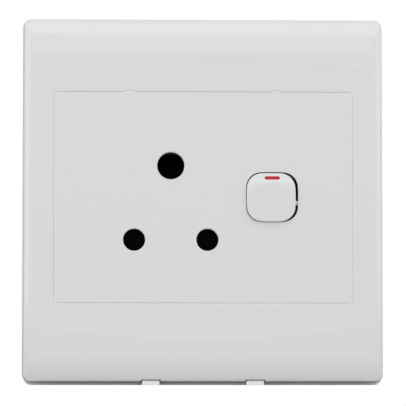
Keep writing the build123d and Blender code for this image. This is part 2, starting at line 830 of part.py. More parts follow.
for piece, name in (
    (rocker, "rocker"),
    (red_indicator, "red_indicator"),
    (plunger, "plunger"),
    (plunger_spring, "plunger_spring"),
):
    turned = piece.part.rotate(Axis(pivot, (1, 0, 0)), rocker_tilt)
    turned.label = name
    export_step(turned, f"parts/{name}.step")

# Rear housing: open-fronted box with pockets for the sleeves and terminals and four ears
inner_left = housing_left + housing_wall
inner_right = housing_right - housing_wall
inner_bottom = housing_bottom + housing_wall
inner_top = housing_top - housing_wall
floor_height = housing_back + housing_wall
pocket_radius = pin_sleeve_radius + pocket_clearance
earth_pocket_radius = earth_sleeve_radius + pocket_clearance
terminal_places = (
    (neutral_x, neutral_terminal_z, -1),
    (rocker_x, neutral_terminal_z, -1),
    (socket_x, earth_terminal_z, 1),
)

with BuildPart() as rear_housing:
    with BuildSketch(wall_plane(housing_back)):
        with Locations(((housing_left + housing_right) / 2, (housing_bottom + housing_top) / 2)):
            RectangleRounded(housing_right - housing_left, housing_top - housing_bottom, housing_corner)
    extrude(amount=housing_front - housing_back)
    block((inner_left, inner_right), (floor_height, housing_front), (inner_bottom, inner_top), Mode.SUBTRACT)
    for x in (neutral_x, live_x):
        rod(x, pin_row_z, pocket_radius + pocket_wall, (floor_height, housing_front))
    rod(socket_x, earth_z, earth_pocket_radius + pocket_wall, (floor_height, strip_back))
    for x, z, side in terminal_places:
        block(
            around(x, terminal_width / 2 + pocket_clearance + pocket_wall),
            (floor_height, terminal_back + terminal_well),
            around(z, terminal_length / 2 + pocket_clearance + pocket_wall),
        )
    for z in (pivot_z, fixed_contact_z):
        block(around(rocker_x, strip_width / 2), (floor_height, strip_back), around(z, pocket_wall))
    for side in (-1, 1):
        for z in (-ear_z, ear_z):
            tip = side * (ear_x + ear_width / 2)
            root = housing_left if side < 0 else housing_right
            block((root, tip), (ear_back, frame_relief), around(z, ear_width / 2))
            rod(side * ear_x, z, small_screw_radius + fit_gap, (ear_back, frame_relief), Mode.SUBTRACT)
    for x in (neutral_x, live_x):
        rod(x, pin_row_z, pocket_radius, (strip_back, housing_front), Mode.SUBTRACT)
    rod(socket_x, earth_z, earth_pocket_radius, (floor_height, strip_back), Mode.SUBTRACT)
    strip_slot = strip_width / 2 + pocket_clearance
    slot_height = (strip_back, housing_front)
    block(around(neutral_x, strip_slot), slot_height, (inner_bottom, pin_row_z), Mode.SUBTRACT)
    block(around(live_x, strip_slot), slot_height, (pin_row_z, fixed_contact_z), Mode.SUBTRACT)
    for x, z, side in terminal_places:
        block(
            around(x, terminal_width / 2 + pocket_clearance),
            (terminal_back, strip_back),
            around(z, terminal_length / 2 + pocket_clearance),
            Mode.SUBTRACT,
        )
        rod(x, z, terminal_head_radius + 2 * fit_gap, (housing_back, terminal_back), Mode.SUBTRACT)
        outside = housing_bottom if side < 0 else housing_top
        with Locations((x, -wire_height, (z + outside) / 2)):
            Cylinder(wire_bore_radius + fit_gap, abs(outside - z), mode=Mode.SUBTRACT)
save(rear_housing, "rear_housing")

# Fasteners
with BuildPart() as box_screws:
    for z in (-box_screw_spacing / 2, box_screw_spacing / 2):
        screw(0, z, frame_thickness, box_neck_radius, box_screw_length, box_head_radius, box_head_height, 1)
        rod(0, z, box_screw_radius, (0, frame_thickness - box_screw_length))
save(box_screws, "box_screws")

with BuildPart() as housing_screws:
    for x in (-ear_x, ear_x):
        for z in (-ear_z, ear_z):
            reach = frame_thickness - ear_back + small_screw_grip - fit_gap
            screw(x, z, ear_back, small_screw_radius, reach, small_head_radius, small_head_height, -1)
save(housing_screws, "housing_screws")
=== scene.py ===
"""The finish of a switched wall socket: its moulded shells, its rocker, its screws and the studio round it.

X runs to the right of the plate, Z up, and -Y out of the wall towards the room. A "height" is a distance
out of the wall towards the room. Sizes are in metres, and angles in degrees unless said. The shells have the
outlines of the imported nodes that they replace, with finer shapes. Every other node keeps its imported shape.
"""

import json
import logging
import math
from dataclasses import dataclass, field
from enum import Enum
from typing import Callable, Iterable, Optional, Sequence

import bmesh
import bpy
from mathutils import Matrix, Vector


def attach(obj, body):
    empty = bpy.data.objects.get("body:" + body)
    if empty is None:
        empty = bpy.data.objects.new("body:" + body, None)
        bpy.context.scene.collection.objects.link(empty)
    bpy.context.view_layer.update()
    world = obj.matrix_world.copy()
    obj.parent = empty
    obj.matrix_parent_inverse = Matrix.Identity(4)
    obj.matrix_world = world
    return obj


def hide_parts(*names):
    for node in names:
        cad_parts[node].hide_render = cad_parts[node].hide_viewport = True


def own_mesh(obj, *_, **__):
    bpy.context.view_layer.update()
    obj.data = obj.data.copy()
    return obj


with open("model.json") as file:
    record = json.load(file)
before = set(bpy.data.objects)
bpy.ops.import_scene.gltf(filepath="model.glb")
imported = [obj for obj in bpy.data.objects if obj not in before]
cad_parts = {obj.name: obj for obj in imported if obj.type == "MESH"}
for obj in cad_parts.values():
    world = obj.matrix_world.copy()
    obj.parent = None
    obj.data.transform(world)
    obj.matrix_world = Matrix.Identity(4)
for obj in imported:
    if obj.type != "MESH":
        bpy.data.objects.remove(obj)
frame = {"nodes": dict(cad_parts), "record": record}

log = logging.getLogger("switched_socket")

MM = 0.001
SOCKET = "socket"
WHITE = (1.0, 1.0, 1.0, 1.0)
Place = tuple[float, float]
Triple = tuple[float, float, float]
Paint = tuple[float, float, float, float]
Plug = bpy.types.NodeSocket
Piece = bpy.types.Object
Ring = list[Vector]
Placer = Callable[[float, float, float], Vector]
Vertices = list[bmesh.types.BMVert]


class Side(Enum):
    """Which way the head of a screw faces."""

    ROOM = 1.0
    WALL = -1.0


def at_height(x: float, height: float, z: float) -> Vector:
    """Point of the frame at a height out of the wall."""
    return Vector((x, -height, z))


def smooth_step(value: float) -> float:
    """Ease a value from 0 to 1, and hold it there on either side."""
    t = min(max(value, 0.0), 1.0)
    return t * t * (3.0 - 2.0 * t)


class NodeTree:
    """A node tree with short ways to add and join its nodes."""

    def __init__(self, tree: bpy.types.NodeTree) -> None:
        """Keep the tree that the nodes go into."""
        self.tree = tree

    def node(self, kind: str, inputs: Optional[dict] = None, **settings: object) -> bpy.types.Node:
        """Add a node.

        Args:
            kind: Blender's name of the node type.
            inputs: a number, a colour or a socket for each input, by its name or number.
            settings: the node's properties, by name.

        Returns:
            The new node.
        """
        made = self.tree.nodes.new(kind)
        for key, value in settings.items():
            setattr(made, key, value)
        for key, value in (inputs or {}).items():
            self.feed(value, made.inputs[key])
        return made

    def feed(self, source: object, target: Plug) -> None:
        """Join a socket to an input, or write a plain value into it."""
        if isinstance(source, Plug):
            self.tree.links.new(source, target)
        else:
            target.default_value = source

    def noise(
        self, scale: float, detail: float, roughness: float, stretch: Triple = (1.0, 1.0, 1.0)
    ) -> Plug:
        """Add a noise texture in the object's own space.

        Args:
            scale: how fine it is.
            detail: how many octaves it has.
            roughness: how strong the fine octaves are.
            stretch: how much the space is scaled along each axis.

        Returns:
            The socket that holds the noise.
        """
        place = self.node("ShaderNodeTexCoord")
        mapping = self.node("ShaderNodeMapping", {"Vector": place.outputs["Object"], "Scale": stretch})
        inputs = {"Vector": mapping.outputs["Vector"], "Scale": scale, "Detail": detail}
        return self.node("ShaderNodeTexNoise", {**inputs, "Roughness": roughness}).outputs["Fac"]

    def maths(self, operation: str, first: object, second: object) -> Plug:
        """Work out two numbers or sockets with a Math node."""
        return self.node("ShaderNodeMath", {0: first, 1: second}, operation=operation).outputs[0]

    def dimmed(self, colour: Plug, factor: Plug) -> Plug:
        """Scale a colour by a factor."""
        return self.node("ShaderNodeVectorMath", {0: colour, "Scale": factor}, operation="SCALE").outputs[0]

    def blend(self, factor: object, first: object, second: object) -> Plug:
        """Mix two colours, which a Mix node takes as its inputs 6 and 7 and gives as its output 2."""
        inputs = {"Factor": factor, 6: first, 7: second}
        return self.node("ShaderNodeMix", inputs, data_type="RGBA").outputs[2]

    def spread(
        self, value: Plug, low: float, high: float, first: float = 0.0, last: float = 1.0,
        easing: str = "LINEAR",
    ) -> Plug:
        """Map a span of values onto another span, and hold them at its ends.

        Args:
            value: the socket to read.
            low: the value that becomes the first one.
            high: the value that becomes the last one.
            first: start of the new span.
            last: end of the new span.
            easing: Blender's name of the way between them.

        Returns:
            The socket that holds the mapped value.
        """
        inputs = {"Value": value, "From Min": low, "From Max": high, "To Min": first, "To Max": last}
        made = self.node("ShaderNodeMapRange", inputs, clamp=True, interpolation_type=easing)
        return made.outputs["Result"]


class ShaderGroup(NodeTree):
    """A shader node group that gives a colour, a roughness and a height, and is placed in many materials."""

    OUTPUTS = {"Colour": "NodeSocketColor", "Roughness": "NodeSocketFloat", "Height": "NodeSocketFloat"}

    def __init__(self, name: str, inputs: dict[str, object]) -> None:
        """Make the group and its sockets.

        Args:
            name: what the group is called.
            inputs: what each input starts at, by name, either a number or a colour.
        """
        super().__init__(bpy.data.node_groups.new(name, "ShaderNodeTree"))
        for label, value in inputs.items():
            kind = "NodeSocketFloat" if isinstance(value, float) else "NodeSocketColor"
            made = self.tree.interface.new_socket(name=label, in_out="INPUT", socket_type=kind)
            made.default_value = value
        for label, kind in self.OUTPUTS.items():
            self.tree.interface.new_socket(name=label, in_out="OUTPUT", socket_type=kind)
        self.given = self.node("NodeGroupInput").outputs
        self.end = self.node("NodeGroupOutput")

    def give(self, *results: Plug) -> None:
        """Join the colour, the roughness and the height to the outputs of the group."""
        for label, result in zip(self.OUTPUTS, results):
            self.feed(result, self.end.inputs[label])


def moulded_surface() -> ShaderGroup:
    """Build the group for moulded plastic: faint cloudiness, handling marks and a fine orange peel.

    Returns:
        The group.
    """
    values = {"Cloud": 0.02, "Gloss": 0.3, "Handling": 0.05, "Peel": 0.3}
    group = ShaderGroup("Moulded surface", {"Colour": (0.7, 0.7, 0.7, 1.0), **values})
    given = group.given
    cloud = group.maths("SUBTRACT", group.noise(scale=38.0, detail=3.0, roughness=0.5), 0.5)
    brightness = group.maths("ADD", group.maths("MULTIPLY", cloud, given["Cloud"]), 1.0)
    touched = group.noise(scale=55.0, detail=6.0, roughness=0.65, stretch=(1.0, 1.0, 0.5))
    smears = group.maths("MULTIPLY", group.spread(touched, 0.42, 0.72), given["Handling"])
    peel = group.noise(scale=420.0, detail=2.0, roughness=0.4)
    grain = group.maths("MULTIPLY", group.noise(scale=2600.0, detail=2.0, roughness=0.6), 0.25)
    group.give(
        group.dimmed(given["Colour"], brightness),
        group.maths("ADD", given["Gloss"], smears),
        group.maths("MULTIPLY", group.maths("ADD", peel, grain), given["Peel"]),
    )
    return group


def worked_metal() -> ShaderGroup:
    """Build the group for drawn, rolled or plated metal: streaks, tarnish and fine scratches.

    Returns:
        The group.
    """
    colours = {"Colour": (0.6, 0.6, 0.6, 1.0), "Tarnish Colour": (0.3, 0.2, 0.1, 1.0)}
    group = ShaderGroup("Worked metal", {**colours, "Tarnish": 0.3, "Gloss": 0.3, "Streaks": 0.2})
    given = group.given
    patches = group.spread(group.noise(scale=160.0, detail=5.0, roughness=0.6), 0.4, 0.75)
    spots = group.maths("MULTIPLY", patches, given["Tarnish"])
    dulled = group.maths("ADD", group.maths("MULTIPLY", spots, 0.3), given["Gloss"])
    streaks = group.noise(scale=1500.0, detail=3.0, roughness=0.6, stretch=(1.0, 1.0, 0.04))
    group.give(
        group.blend(spots, given["Colour"], given["Tarnish Colour"]),
        group.maths("ADD", dulled, group.maths("MULTIPLY", streaks, given["Streaks"])),
        group.maths("MULTIPLY", streaks, 0.5),
    )
    return group


class Surface:
    """A material whose Principled shader takes its colour, roughness and height from a shared group."""

    # Facing values over which the painted shade on surfaces seen edge on sets in
    FACING_BLEND = 0.5
    TURNED_FROM, TURNED_TO = 0.68, 0.84

    def __init__(self, name: str, group: ShaderGroup, depth: float, values: dict[str, object]) -> None:
        """Build the material.

        Args:
            name: name of the material.
            group: the group that feeds it.
            depth: how far the height stands out.
            values: what the group's inputs are set to, by name.
        """
        self.material = bpy.data.materials.new(name)
        self.material.use_nodes = True
        self.nodes = NodeTree(self.material.node_tree)
        self.inputs = self.material.node_tree.nodes["Principled BSDF"].inputs
        self.given = self.nodes.node("ShaderNodeGroup", values, node_tree=group.tree).outputs
        height = {"Strength": 1.0, "Distance": depth, "Height": self.given["Height"]}
        self.nodes.feed(self.given["Colour"], self.inputs["Base Color"])
        self.nodes.feed(self.given["Roughness"], self.inputs["Roughness"])
        self.nodes.feed(self.nodes.node("ShaderNodeBump", height).outputs["Normal"], self.inputs["Normal"])

    def paint_edge_shade(self, share: float) -> None:
        """Paint shade into the colour where the surface is seen almost edge on, so that rims look darker.

        Args:
            share: the share of the colour that is left there, under the painted shade.
        """
        facing = self.nodes.node("ShaderNodeLayerWeight", {"Blend": self.FACING_BLEND}).outputs["Facing"]
        left = self.nodes.spread(facing, self.TURNED_FROM, self.TURNED_TO, 1.0, share)
        self.nodes.feed(self.nodes.dimmed(self.given["Colour"], left), self.inputs["Base Color"])


@dataclass(frozen=True)
class Plastic:
    """A moulded plastic finish."""

    name: str
    slot: str
    colour: Triple
    gloss: float = 0.3
    handling: float = 0.05
    cloud: float = 0.02
    peel: float = 0.25
    peel_depth: float = 0.004 * MM
    shine: float = 0.5
    # Share of the colour left where the surface is seen edge on: painted shade that darkens rims, none at 1
    painted_edge_shade: float = 1.0

    def material(self, group: ShaderGroup) -> bpy.types.Material:
        """Build the material.

        Args:
            group: the moulded surface group.

        Returns:
            The new material.
        """
        values = {"Colour": (*self.colour, 1.0), "Cloud": self.cloud, "Gloss": self.gloss}
        values.update({"Handling": self.handling, "Peel": self.peel})
        surface = Surface(self.name, group, self.peel_depth, values)
        surface.inputs["Specular IOR Level"].default_value = self.shine
        # Painted shade where the surface is seen edge on
        if self.painted_edge_shade < 1.0:
            surface.paint_edge_shade(self.painted_edge_shade)
        return surface.material


@dataclass(frozen=True)
class Metal:
    """A bare or plated metal finish."""

    name: str
    slot: str
    colour: Triple
    tarnish_colour: Triple
    tarnish: float = 0.25
    gloss: float = 0.28
    streaks: float = 0.2
    streak_depth: float = 0.004 * MM

    def material(self, group: ShaderGroup) -> bpy.types.Material:
        """Build the material.

        Args:
            group: the worked metal group.

        Returns:
            The new material.
        """
        values = {"Colour": (*self.colour, 1.0), "Tarnish Colour": (*self.tarnish_colour, 1.0)}
        values.update({"Tarnish": self.tarnish, "Gloss": self.gloss, "Streaks": self.streaks})
        surface = Surface(self.name, group, self.streak_depth, values)
        surface.inputs["Metallic"].default_value = 1.0
        return surface.material


class FinishLibrary:
    """Every finish of the socket, by the slot of the record that it dresses."""

    PLASTICS = (
        # The front plastic carries painted shade where it is seen edge on, which darkens its rims.
        Plastic(
            "White front plastic", "white_plastic", (0.66, 0.66, 0.66), gloss=0.3, handling=0.01, cloud=0.01,
            painted_edge_shade=0.5,
        ),
        Plastic(
            "White rocker plastic", "rocker_plastic", (0.65, 0.65, 0.65), gloss=0.25, handling=0.01,
            cloud=0.01,
        ),
        # Paler than the front plastic: a whiter moulding, brightened further as painted light so that the pry
        # tongues under the cover's lower edge show bright.
        Plastic("White frame plastic", "frame_plastic", (0.88, 0.88, 0.88), gloss=0.42, peel=0.4),
        Plastic("Housing plastic", "housing_plastic", (0.56, 0.555, 0.53), gloss=0.5, peel=0.8, cloud=0.06),
        # Blacker than black plastic, with its shine taken away: the shutters' own black, darkened further as
        # painted shade in the socket holes.
        Plastic(
            "Black shutter plastic", "black_plastic", (0.002, 0.002, 0.002), gloss=0.6, peel=0.5, shine=0.01,
        ),
        Plastic("Plunger plastic", "plunger_plastic", (0.55, 0.54, 0.5), gloss=0.45),
        Plastic("Red mark plastic", "red_plastic", (0.44, 0.006, 0.02), gloss=0.35, cloud=0.12, shine=0.2),
    )
    METALS = (
        Metal("Rolled brass", "brass", (0.78, 0.57, 0.25), (0.42, 0.25, 0.09), tarnish=0.35),
        Metal("Contact silver", "silver", (0.82, 0.81, 0.78), (0.45, 0.42, 0.36), tarnish=0.3, gloss=0.35),
        Metal("Zinc plate", "zinc_steel", (0.66, 0.67, 0.69), (0.5, 0.49, 0.44), tarnish=0.2, gloss=0.25),
        Metal("Spring wire", "spring_steel", (0.46, 0.46, 0.48), (0.26, 0.23, 0.2), tarnish=0.2, gloss=0.3),
    )
    SLEEVE_BRASS = Metal(
        "Tarnished brass", "brass", (0.1, 0.075, 0.035), (0.05, 0.03, 0.012), tarnish=0.5, gloss=0.6,
    )

    def __init__(self) -> None:
        """Build the shared groups and every material."""
        plastic_group, metal_group = moulded_surface(), worked_metal()
        self.sleeve_brass = self.SLEEVE_BRASS.material(metal_group)
        self.materials = {finish.slot: finish.material(plastic_group) for finish in self.PLASTICS}
        self.materials.update({finish.slot: finish.material(metal_group) for finish in self.METALS})

    def dress(self, piece: Piece, slot: str) -> None:
        """Give a new piece the finish of a slot of the record."""
        piece.data.materials.append(self.materials[slot])

    def dress_nodes(self) -> None:
        """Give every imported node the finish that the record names, and the pin sleeves a duller brass."""
        for entry in frame["record"]["subparts"]:
            in_sleeve = entry["node"].endswith("_sleeve")
            finish = self.sleeve_brass if in_sleeve else self.materials[entry["material_slot"]]
            for place in frame["nodes"][entry["node"]].material_slots:
                place.material = finish


class MeshMaker:
    """Collects points and faces, and turns them into one piece of the socket."""

    MERGE_DISTANCE = 0.001 * MM

    def __init__(self) -> None:
        """Start with an empty mesh."""
        self.bm = bmesh.new()

    def loop(self, points: Iterable[Vector]) -> Vertices:
        """Add one ring of points."""
        return [self.bm.verts.new(point) for point in points]

    def bridge(self, first: Vertices, second: Vertices) -> None:
        """Join two rings of as many points with quads."""
        for index, after in enumerate([*range(1, len(first)), 0]):
            self.bm.faces.new((first[index], first[after], second[after], second[index]))

    def skin(self, loops: Sequence[Iterable[Vector]], ring: bool = False) -> list[Vertices]:
        """Join a row of rings into one surface.

        Args:
            loops: rings with equally many points.
            ring: whether the last ring joins the first one.

        Returns:
            The rings' vertices.
        """
        rows = [self.loop(points) for points in loops]
        for first, second in zip(rows, rows[1:]):
            self.bridge(first, second)
        if ring:
            self.bridge(rows[-1], rows[0])
        return rows

    def cap(self, loop: Vertices, middle: Vector) -> None:
        """Close a ring with triangles.

        Args:
            loop: the ring.
            middle: the point that they meet in.
        """
        centre = self.bm.verts.new(middle)
        for first, second in zip(loop, loop[1:] + loop[:1]):
            self.bm.faces.new((first, second, centre))

    def turned(self, profile: Sequence[Place], place: Placer, steps: int) -> None:
        """Turn a profile round an axis and close both of its ends.

        Args:
            profile: radius and distance along the axis, from one end to the other.
            place: gives the point for two coordinates across the axis and one along it.
            steps: how many sides the turned shape has.
        """
        angles = [math.tau * step / steps for step in range(steps)]
        loops = [[place(r * math.cos(a), r * math.sin(a), along) for a in angles] for r, along in profile]
        rows = self.skin(loops)
        for end in (0, -1):
            self.cap(rows[end], place(0.0, 0.0, profile[end][1]))

    def piece(self, name: str, sharp_angle: float = 35.0) -> Piece:
        """Make the object, with smooth shading that stops at sharp edges.

        Args:
            name: name of the piece.
            sharp_angle: an edge that turns by more than this stays sharp.

        Returns:
            The new object.
        """
        bmesh.ops.remove_doubles(self.bm, verts=self.bm.verts, dist=self.MERGE_DISTANCE)
        bmesh.ops.recalc_face_normals(self.bm, faces=self.bm.faces)
        for face in self.bm.faces:
            face.smooth = True
        for edge in self.bm.edges:
            edge.smooth = len(edge.link_faces) == 2 and edge.calc_face_angle() < math.radians(sharp_angle)
        mesh = bpy.data.meshes.new(name)
        self.bm.to_mesh(mesh)
        self.bm.free()
        made = bpy.data.objects.new(name, mesh)
        bpy.context.scene.collection.objects.link(made)
        return made


def arc_fall(run: float, width: float, slope: float, drop: float) -> float:
    """Fall of a circular roll that starts at a slope and covers a width.

    Args:
        run: how far into the roll.
        width: width of the roll.
        slope: slope at which it starts.
        drop: fall across the whole width.

    Returns:
        The fall at that place.
    """
    start = math.radians(slope)
    end = 2.0 * math.atan2(drop, width) - start
    radius = width / (math.sin(end) - math.sin(start))
    sine = min(math.sin(start) + run / radius, 1.0)
    return radius * (math.cos(start) - math.cos(math.asin(sine)))


def round_corner(middle: Place, radius: float, start: float, steps: int) -> list[Place]:
    """Points of a quarter circle, counted anticlockwise.

    Args:
        middle: centre of the corner.
        radius: its radius.
        start: the angle that it starts at.
        steps: how many points it has.

    Returns:
        The points.
    """
    angles = [math.radians(start + 90.0 * step / (steps - 1)) for step in range(steps)]
    return [(middle[0] + radius * math.cos(a), middle[1] + radius * math.sin(a)) for a in angles]


def soften(first: Vector, corner: Vector, second: Vector, steps: int = 3) -> Ring:
    """Points of a soft round between two places on either side of a corner, without the two ends."""
    shares = [step / (steps + 1) for step in range(1, steps + 1)]
    return [first * (1 - t) ** 2 + corner * 2 * t * (1 - t) + second * t**2 for t in shares]


@dataclass(frozen=True)
class Notches:
    """A pair of notches in one edge, the same distance either side of the middle."""

    spread: float
    half_width: float
    depth: float

    def limits(self) -> list[Place]:
        """Left and right limit of each notch."""
        middles = (-self.spread, self.spread)
        return [(middle - self.half_width, middle + self.half_width) for middle in middles]

    def holds(self, x: float) -> bool:
        """Tell whether a place along the edge lies in a notch."""
        return any(low <= x <= high for low, high in self.limits())


@dataclass(frozen=True)
class Outline:
    """Rounded rectangle whose upper and lower edges may arch."""

    half_width: float
    low: float
    high: float
    corner: float
    bow: float = 0.0

    def edge(self, x: float, side: float) -> float:
        """Place up of the upper edge, for side 1, or of the lower one, for side -1, at a place along it."""
        fall = self.bow * (x / self.half_width) ** 2
        return self.high - fall if side > 0 else self.low + fall


@dataclass
class CoverPlate:
    """Domed cover with its sunk field, its opening and the pry notches."""

    half_width: float = 62.8 * MM
    half_height: float = 63.45 * MM
    corner: float = 3.0 * MM
    least_corner: float = 0.3 * MM
    front: float = 10.0 * MM
    seat: float = 2.4 * MM
    wall: float = 2.0 * MM
    rim_wall: float = 3.0 * MM
    draft: float = 7.5
    edge_round: float = 0.6 * MM
    top_roll: float = 12.6 * MM
    top_lead: float = 6.2 * MM
    top_slope: float = 6.0
    bottom_roll: float = 9.95 * MM
    bottom_slope: float = 2.0
    bottom_band_fall: float = 0.3 * MM
    side_roll: float = 4.7 * MM
    side_slope: float = 4.0
    top_drop: float = 4.4 * MM
    bottom_drop: float = 3.7 * MM
    side_drop: float = 2.6 * MM
    field_margin: float = 0.5 * MM
    field_crown: float = 49.39 * MM
    field_corner: float = 0.6 * MM
    field_bow: float = 5.0 * MM
    field_sink: float = 0.2 * MM
    crease_sink: float = 0.07 * MM
    crease_width: float = 1.3 * MM
    opening_z: float = 0.71 * MM
    opening_half_width: float = 51.81 * MM
    opening_half_height: float = 36.695 * MM
    opening_corner: float = 1.6 * MM
    opening_round: float = 0.1 * MM
    opening_ease: float = 0.03 * MM
    collar_wall: float = 1.0 * MM
    collar_back: float = 2.2 * MM
    latch_floor: float = 7.1 * MM
    latches: Notches = Notches(25.4 * MM, 1.86 * MM, 0.53 * MM)
    pry: Notches = Notches(18.1 * MM, 3.4 * MM, 1.0 * MM)
    corner_steps: int = 9
    step_x: float = 4.0 * MM
    half_steps_x: int = 12
    step_z: float = 4.25 * MM
    half_steps_z: int = 8
    notch_clear: float = 0.6 * MM
    notch_slant: float = 0.04 * MM
    probe: float = 2.0 * MM
    lean_tries: int = 8

    # Where the rings lie in each band, as shares of its width
    FIELD_SHARES = (0.0, 0.08, 0.4, 0.7, 1.0)
    CREASE_SHARES = (0.8, 0.6, 0.4, 0.2)
    LEDGE_SHARES = (0.0, 0.04, 0.5, 0.96)
    ROLL_SHARES = (0.0, 0.02, 0.05, 0.1, 0.2, 0.3, 0.4, 0.47, 0.52, 0.57, 0.62)
    RIM_SHARES = (0.2, 0.4, 0.6, 0.8)
    INNER_SHARE = 0.3

    def places_x(self) -> list[float]:
        """Places along the upper and lower edges that every ring shares, from left to right.

        Returns:
            The places, which crowd at the sides of the notches.
        """
        limits = [x for notches in (self.latches, self.pry) for pair in notches.limits() for x in pair]
        even = [step * self.step_x for step in range(-self.half_steps_x, self.half_steps_x + 1)]
        spaced = [x for x in even if all(abs(x - limit) > self.notch_clear for limit in limits)]
        return sorted(spaced + [limit + side * self.notch_slant for limit in limits for side in (-1, 1)])

    def places_z(self) -> list[float]:
        """Places along the left and right edges that every ring shares, from bottom to top."""
        steps = range(-self.half_steps_z, self.half_steps_z + 1)
        return [self.opening_z + step * self.step_z for step in steps]

    def row(self, outline: Outline, side: float, notches: Optional[Notches]) -> list[Place]:
        """Points along the upper edge of an outline, for side 1, or the lower one, for side -1."""
        depths = [(x, notches.depth if notches and notches.holds(x) else 0.0) for x in self.places_x()]
        return [(x, outline.edge(x, side) + depth) for x, depth in depths]

    def ring(
        self, outline: Outline, top: Optional[Notches] = None, bottom: Optional[Notches] = None
    ) -> list[Place]:
        """Points of one ring, anticlockwise from the left end of the lower edge.

        Args:
            outline: the rounded rectangle that the ring follows.
            top: notches in its upper edge.
            bottom: notches in its lower edge.

        Returns:
            The points, as x and z.
        """
        right, left = outline.half_width - outline.corner, outline.corner - outline.half_width
        low = outline.edge(right, -1.0) + outline.corner
        high = outline.edge(right, 1.0) - outline.corner
        middles = ((right, low), (right, high), (left, high), (left, low))
        corners = [
            round_corner(middle, outline.corner, start, self.corner_steps)
            for middle, start in zip(middles, (270.0, 0.0, 90.0, 180.0))
        ]
        places = self.row(outline, -1.0, bottom) + corners[0]
        places += [(outline.half_width, z) for z in self.places_z()]
        places += corners[1] + self.row(outline, 1.0, top)[::-1] + corners[2]
        places += [(-outline.half_width, z) for z in self.places_z()[::-1]]
        return places + corners[3]

    def opening(self, offset: float) -> Outline:
        """Outline of the opening.

        Args:
            offset: how much wider the outline is on every side.

        Returns:
            The outline.
        """
        low = self.opening_z - self.opening_half_height - offset
        high = self.opening_z + self.opening_half_height + offset
        return Outline(self.opening_half_width + offset, low, high, self.opening_corner + offset)

    def barrel(self) -> Outline:
        """Outline of the sunk field.

        Returns:
            The outline.
        """
        half_width = self.half_width - self.side_roll - self.field_margin
        low, high = self.opening_z - self.field_crown, self.opening_z + self.field_crown
        return Outline(half_width, low, high, self.field_corner, self.field_bow)

    def rolled(self, share: float) -> Outline:
        """Outline somewhere on the rolled edges.

        Args:
            share: 0 for the start of the rolled edges, and 1 for the sides of the cover.

        Returns:
            The outline.
        """
        rest = 1.0 - share
        low = -self.half_height + self.bottom_roll * rest
        high = self.half_height - self.top_roll * rest
        corner = self.least_corner * rest + self.corner * share
        return Outline(self.half_width - self.side_roll * rest, low, high, corner)

    def side_outline(self, inset: float) -> Outline:
        """Outline of the cover's sides at the wall, made smaller by an inset."""
        high = self.half_height - inset
        return Outline(self.half_width - inset, -high, high, max(self.corner - inset, self.least_corner))

    def fall(self, x: float, z: float) -> float:
        """How far the front lies below its highest level.

        Args:
            x: place to the right of the middle.
            z: place above the middle.

        Returns:
            The distance.
        """
        top_start = self.half_height - self.top_roll
        bottom_start = self.bottom_roll - self.half_height
        side_start = self.half_width - self.side_roll
        field_edge = self.barrel().edge(x, -1.0)
        down = 0.0
        if z > top_start:
            lead = math.tan(math.radians(self.top_slope))
            run = z - top_start
            down = min(run, self.top_lead) * lead
            if run > self.top_lead:
                rest = (self.top_roll - self.top_lead, self.top_slope, self.top_drop - self.top_lead * lead)
                down += arc_fall(run - self.top_lead, *rest)
        elif z < bottom_start:
            left = self.bottom_drop - self.bottom_band_fall
            down = self.bottom_band_fall
            down += arc_fall(bottom_start - z, self.bottom_roll, self.bottom_slope, left)
        elif z < field_edge:
            down = self.bottom_band_fall * (field_edge - z) / (field_edge - bottom_start)
        if abs(x) > side_start:
            down = max(down, arc_fall(abs(x) - side_start, self.side_roll, self.side_slope, self.side_drop))
        return down

    def on_front(self, place: Vector, sink: float = 0.0) -> Vector:
        """Point of the cover's front over a place in the plane of the wall."""
        return at_height(place.x, self.front - self.fall(place.x, place.y) - sink, place.y)

    def plan(self, outline: Outline, bottom: Optional[Notches] = None) -> Ring:
        """Ring of points in the plane of the wall."""
        return [Vector(place) for place in self.ring(outline, bottom=bottom)]

    def front_ring(self, outline: Outline, sink: float = 0.0) -> Ring:
        """Ring of points on the front of the cover, or a distance under it."""
        return [self.on_front(place, sink) for place in self.plan(outline)]

    def flat_ring(self, places: Iterable[Place], height: float) -> Ring:
        """Ring of points at one height."""
        return [at_height(x, height, z) for x, z in places]

    def field_ring(self, share: float, inside: Optional[float] = None) -> Ring:
        """Ring of the sunk field.

        Args:
            share: how far out it lies between the opening and the crease of the field, from 0 to 1.
            inside: its distance from the crease, which then sets where it lies.

        Returns:
            The points of the ring.
        """
        near_ring = self.ring(self.opening(self.opening_round), top=self.latches)
        points = []
        for near, far in zip(near_ring, self.ring(self.barrel())):
            near, far = Vector(near), Vector(far)
            span = (far - near).length
            part = share * (1.0 - self.crease_width / span) if inside is None else 1.0 - inside / span
            crease = smooth_step((1.0 - part) * span / self.crease_width)
            rest = smooth_step(1.0 - part)
            sink = self.crease_sink * crease + (self.field_sink - self.crease_sink) * rest
            points.append(self.on_front(near.lerp(far, part), sink))
        return points

    def rolled_rings(self) -> list[Ring]:
        """Rings from the crease of the field out over the rolled edges, round the rim and down to the seat.

        Returns:
            The rings, from the inside out.
        """
        crease, start = self.plan(self.barrel()), self.plan(self.rolled(0.0))
        rings = [[self.on_front(a.lerp(b, t)) for a, b in zip(crease, start)] for t in self.LEDGE_SHARES]
        rings += [self.front_ring(self.rolled(share)) for share in self.ROLL_SHARES]
        last = self.plan(self.rolled(self.ROLL_SHARES[-1]))
        outer = self.plan(self.side_outline(0.0), self.pry)
        deeper = self.plan(self.side_outline(self.probe), self.pry)
        flanks = [self.rim(a, b, index) for index, (a, b) in enumerate(zip(outer, deeper))]
        edge = [Vector((flank[0].x, flank[0].z)) for flank in flanks]
        rings += [[self.on_front(a.lerp(b, t)) for a, b in zip(last, edge)] for t in self.RIM_SHARES]
        return rings + [list(row) for row in zip(*flanks)]

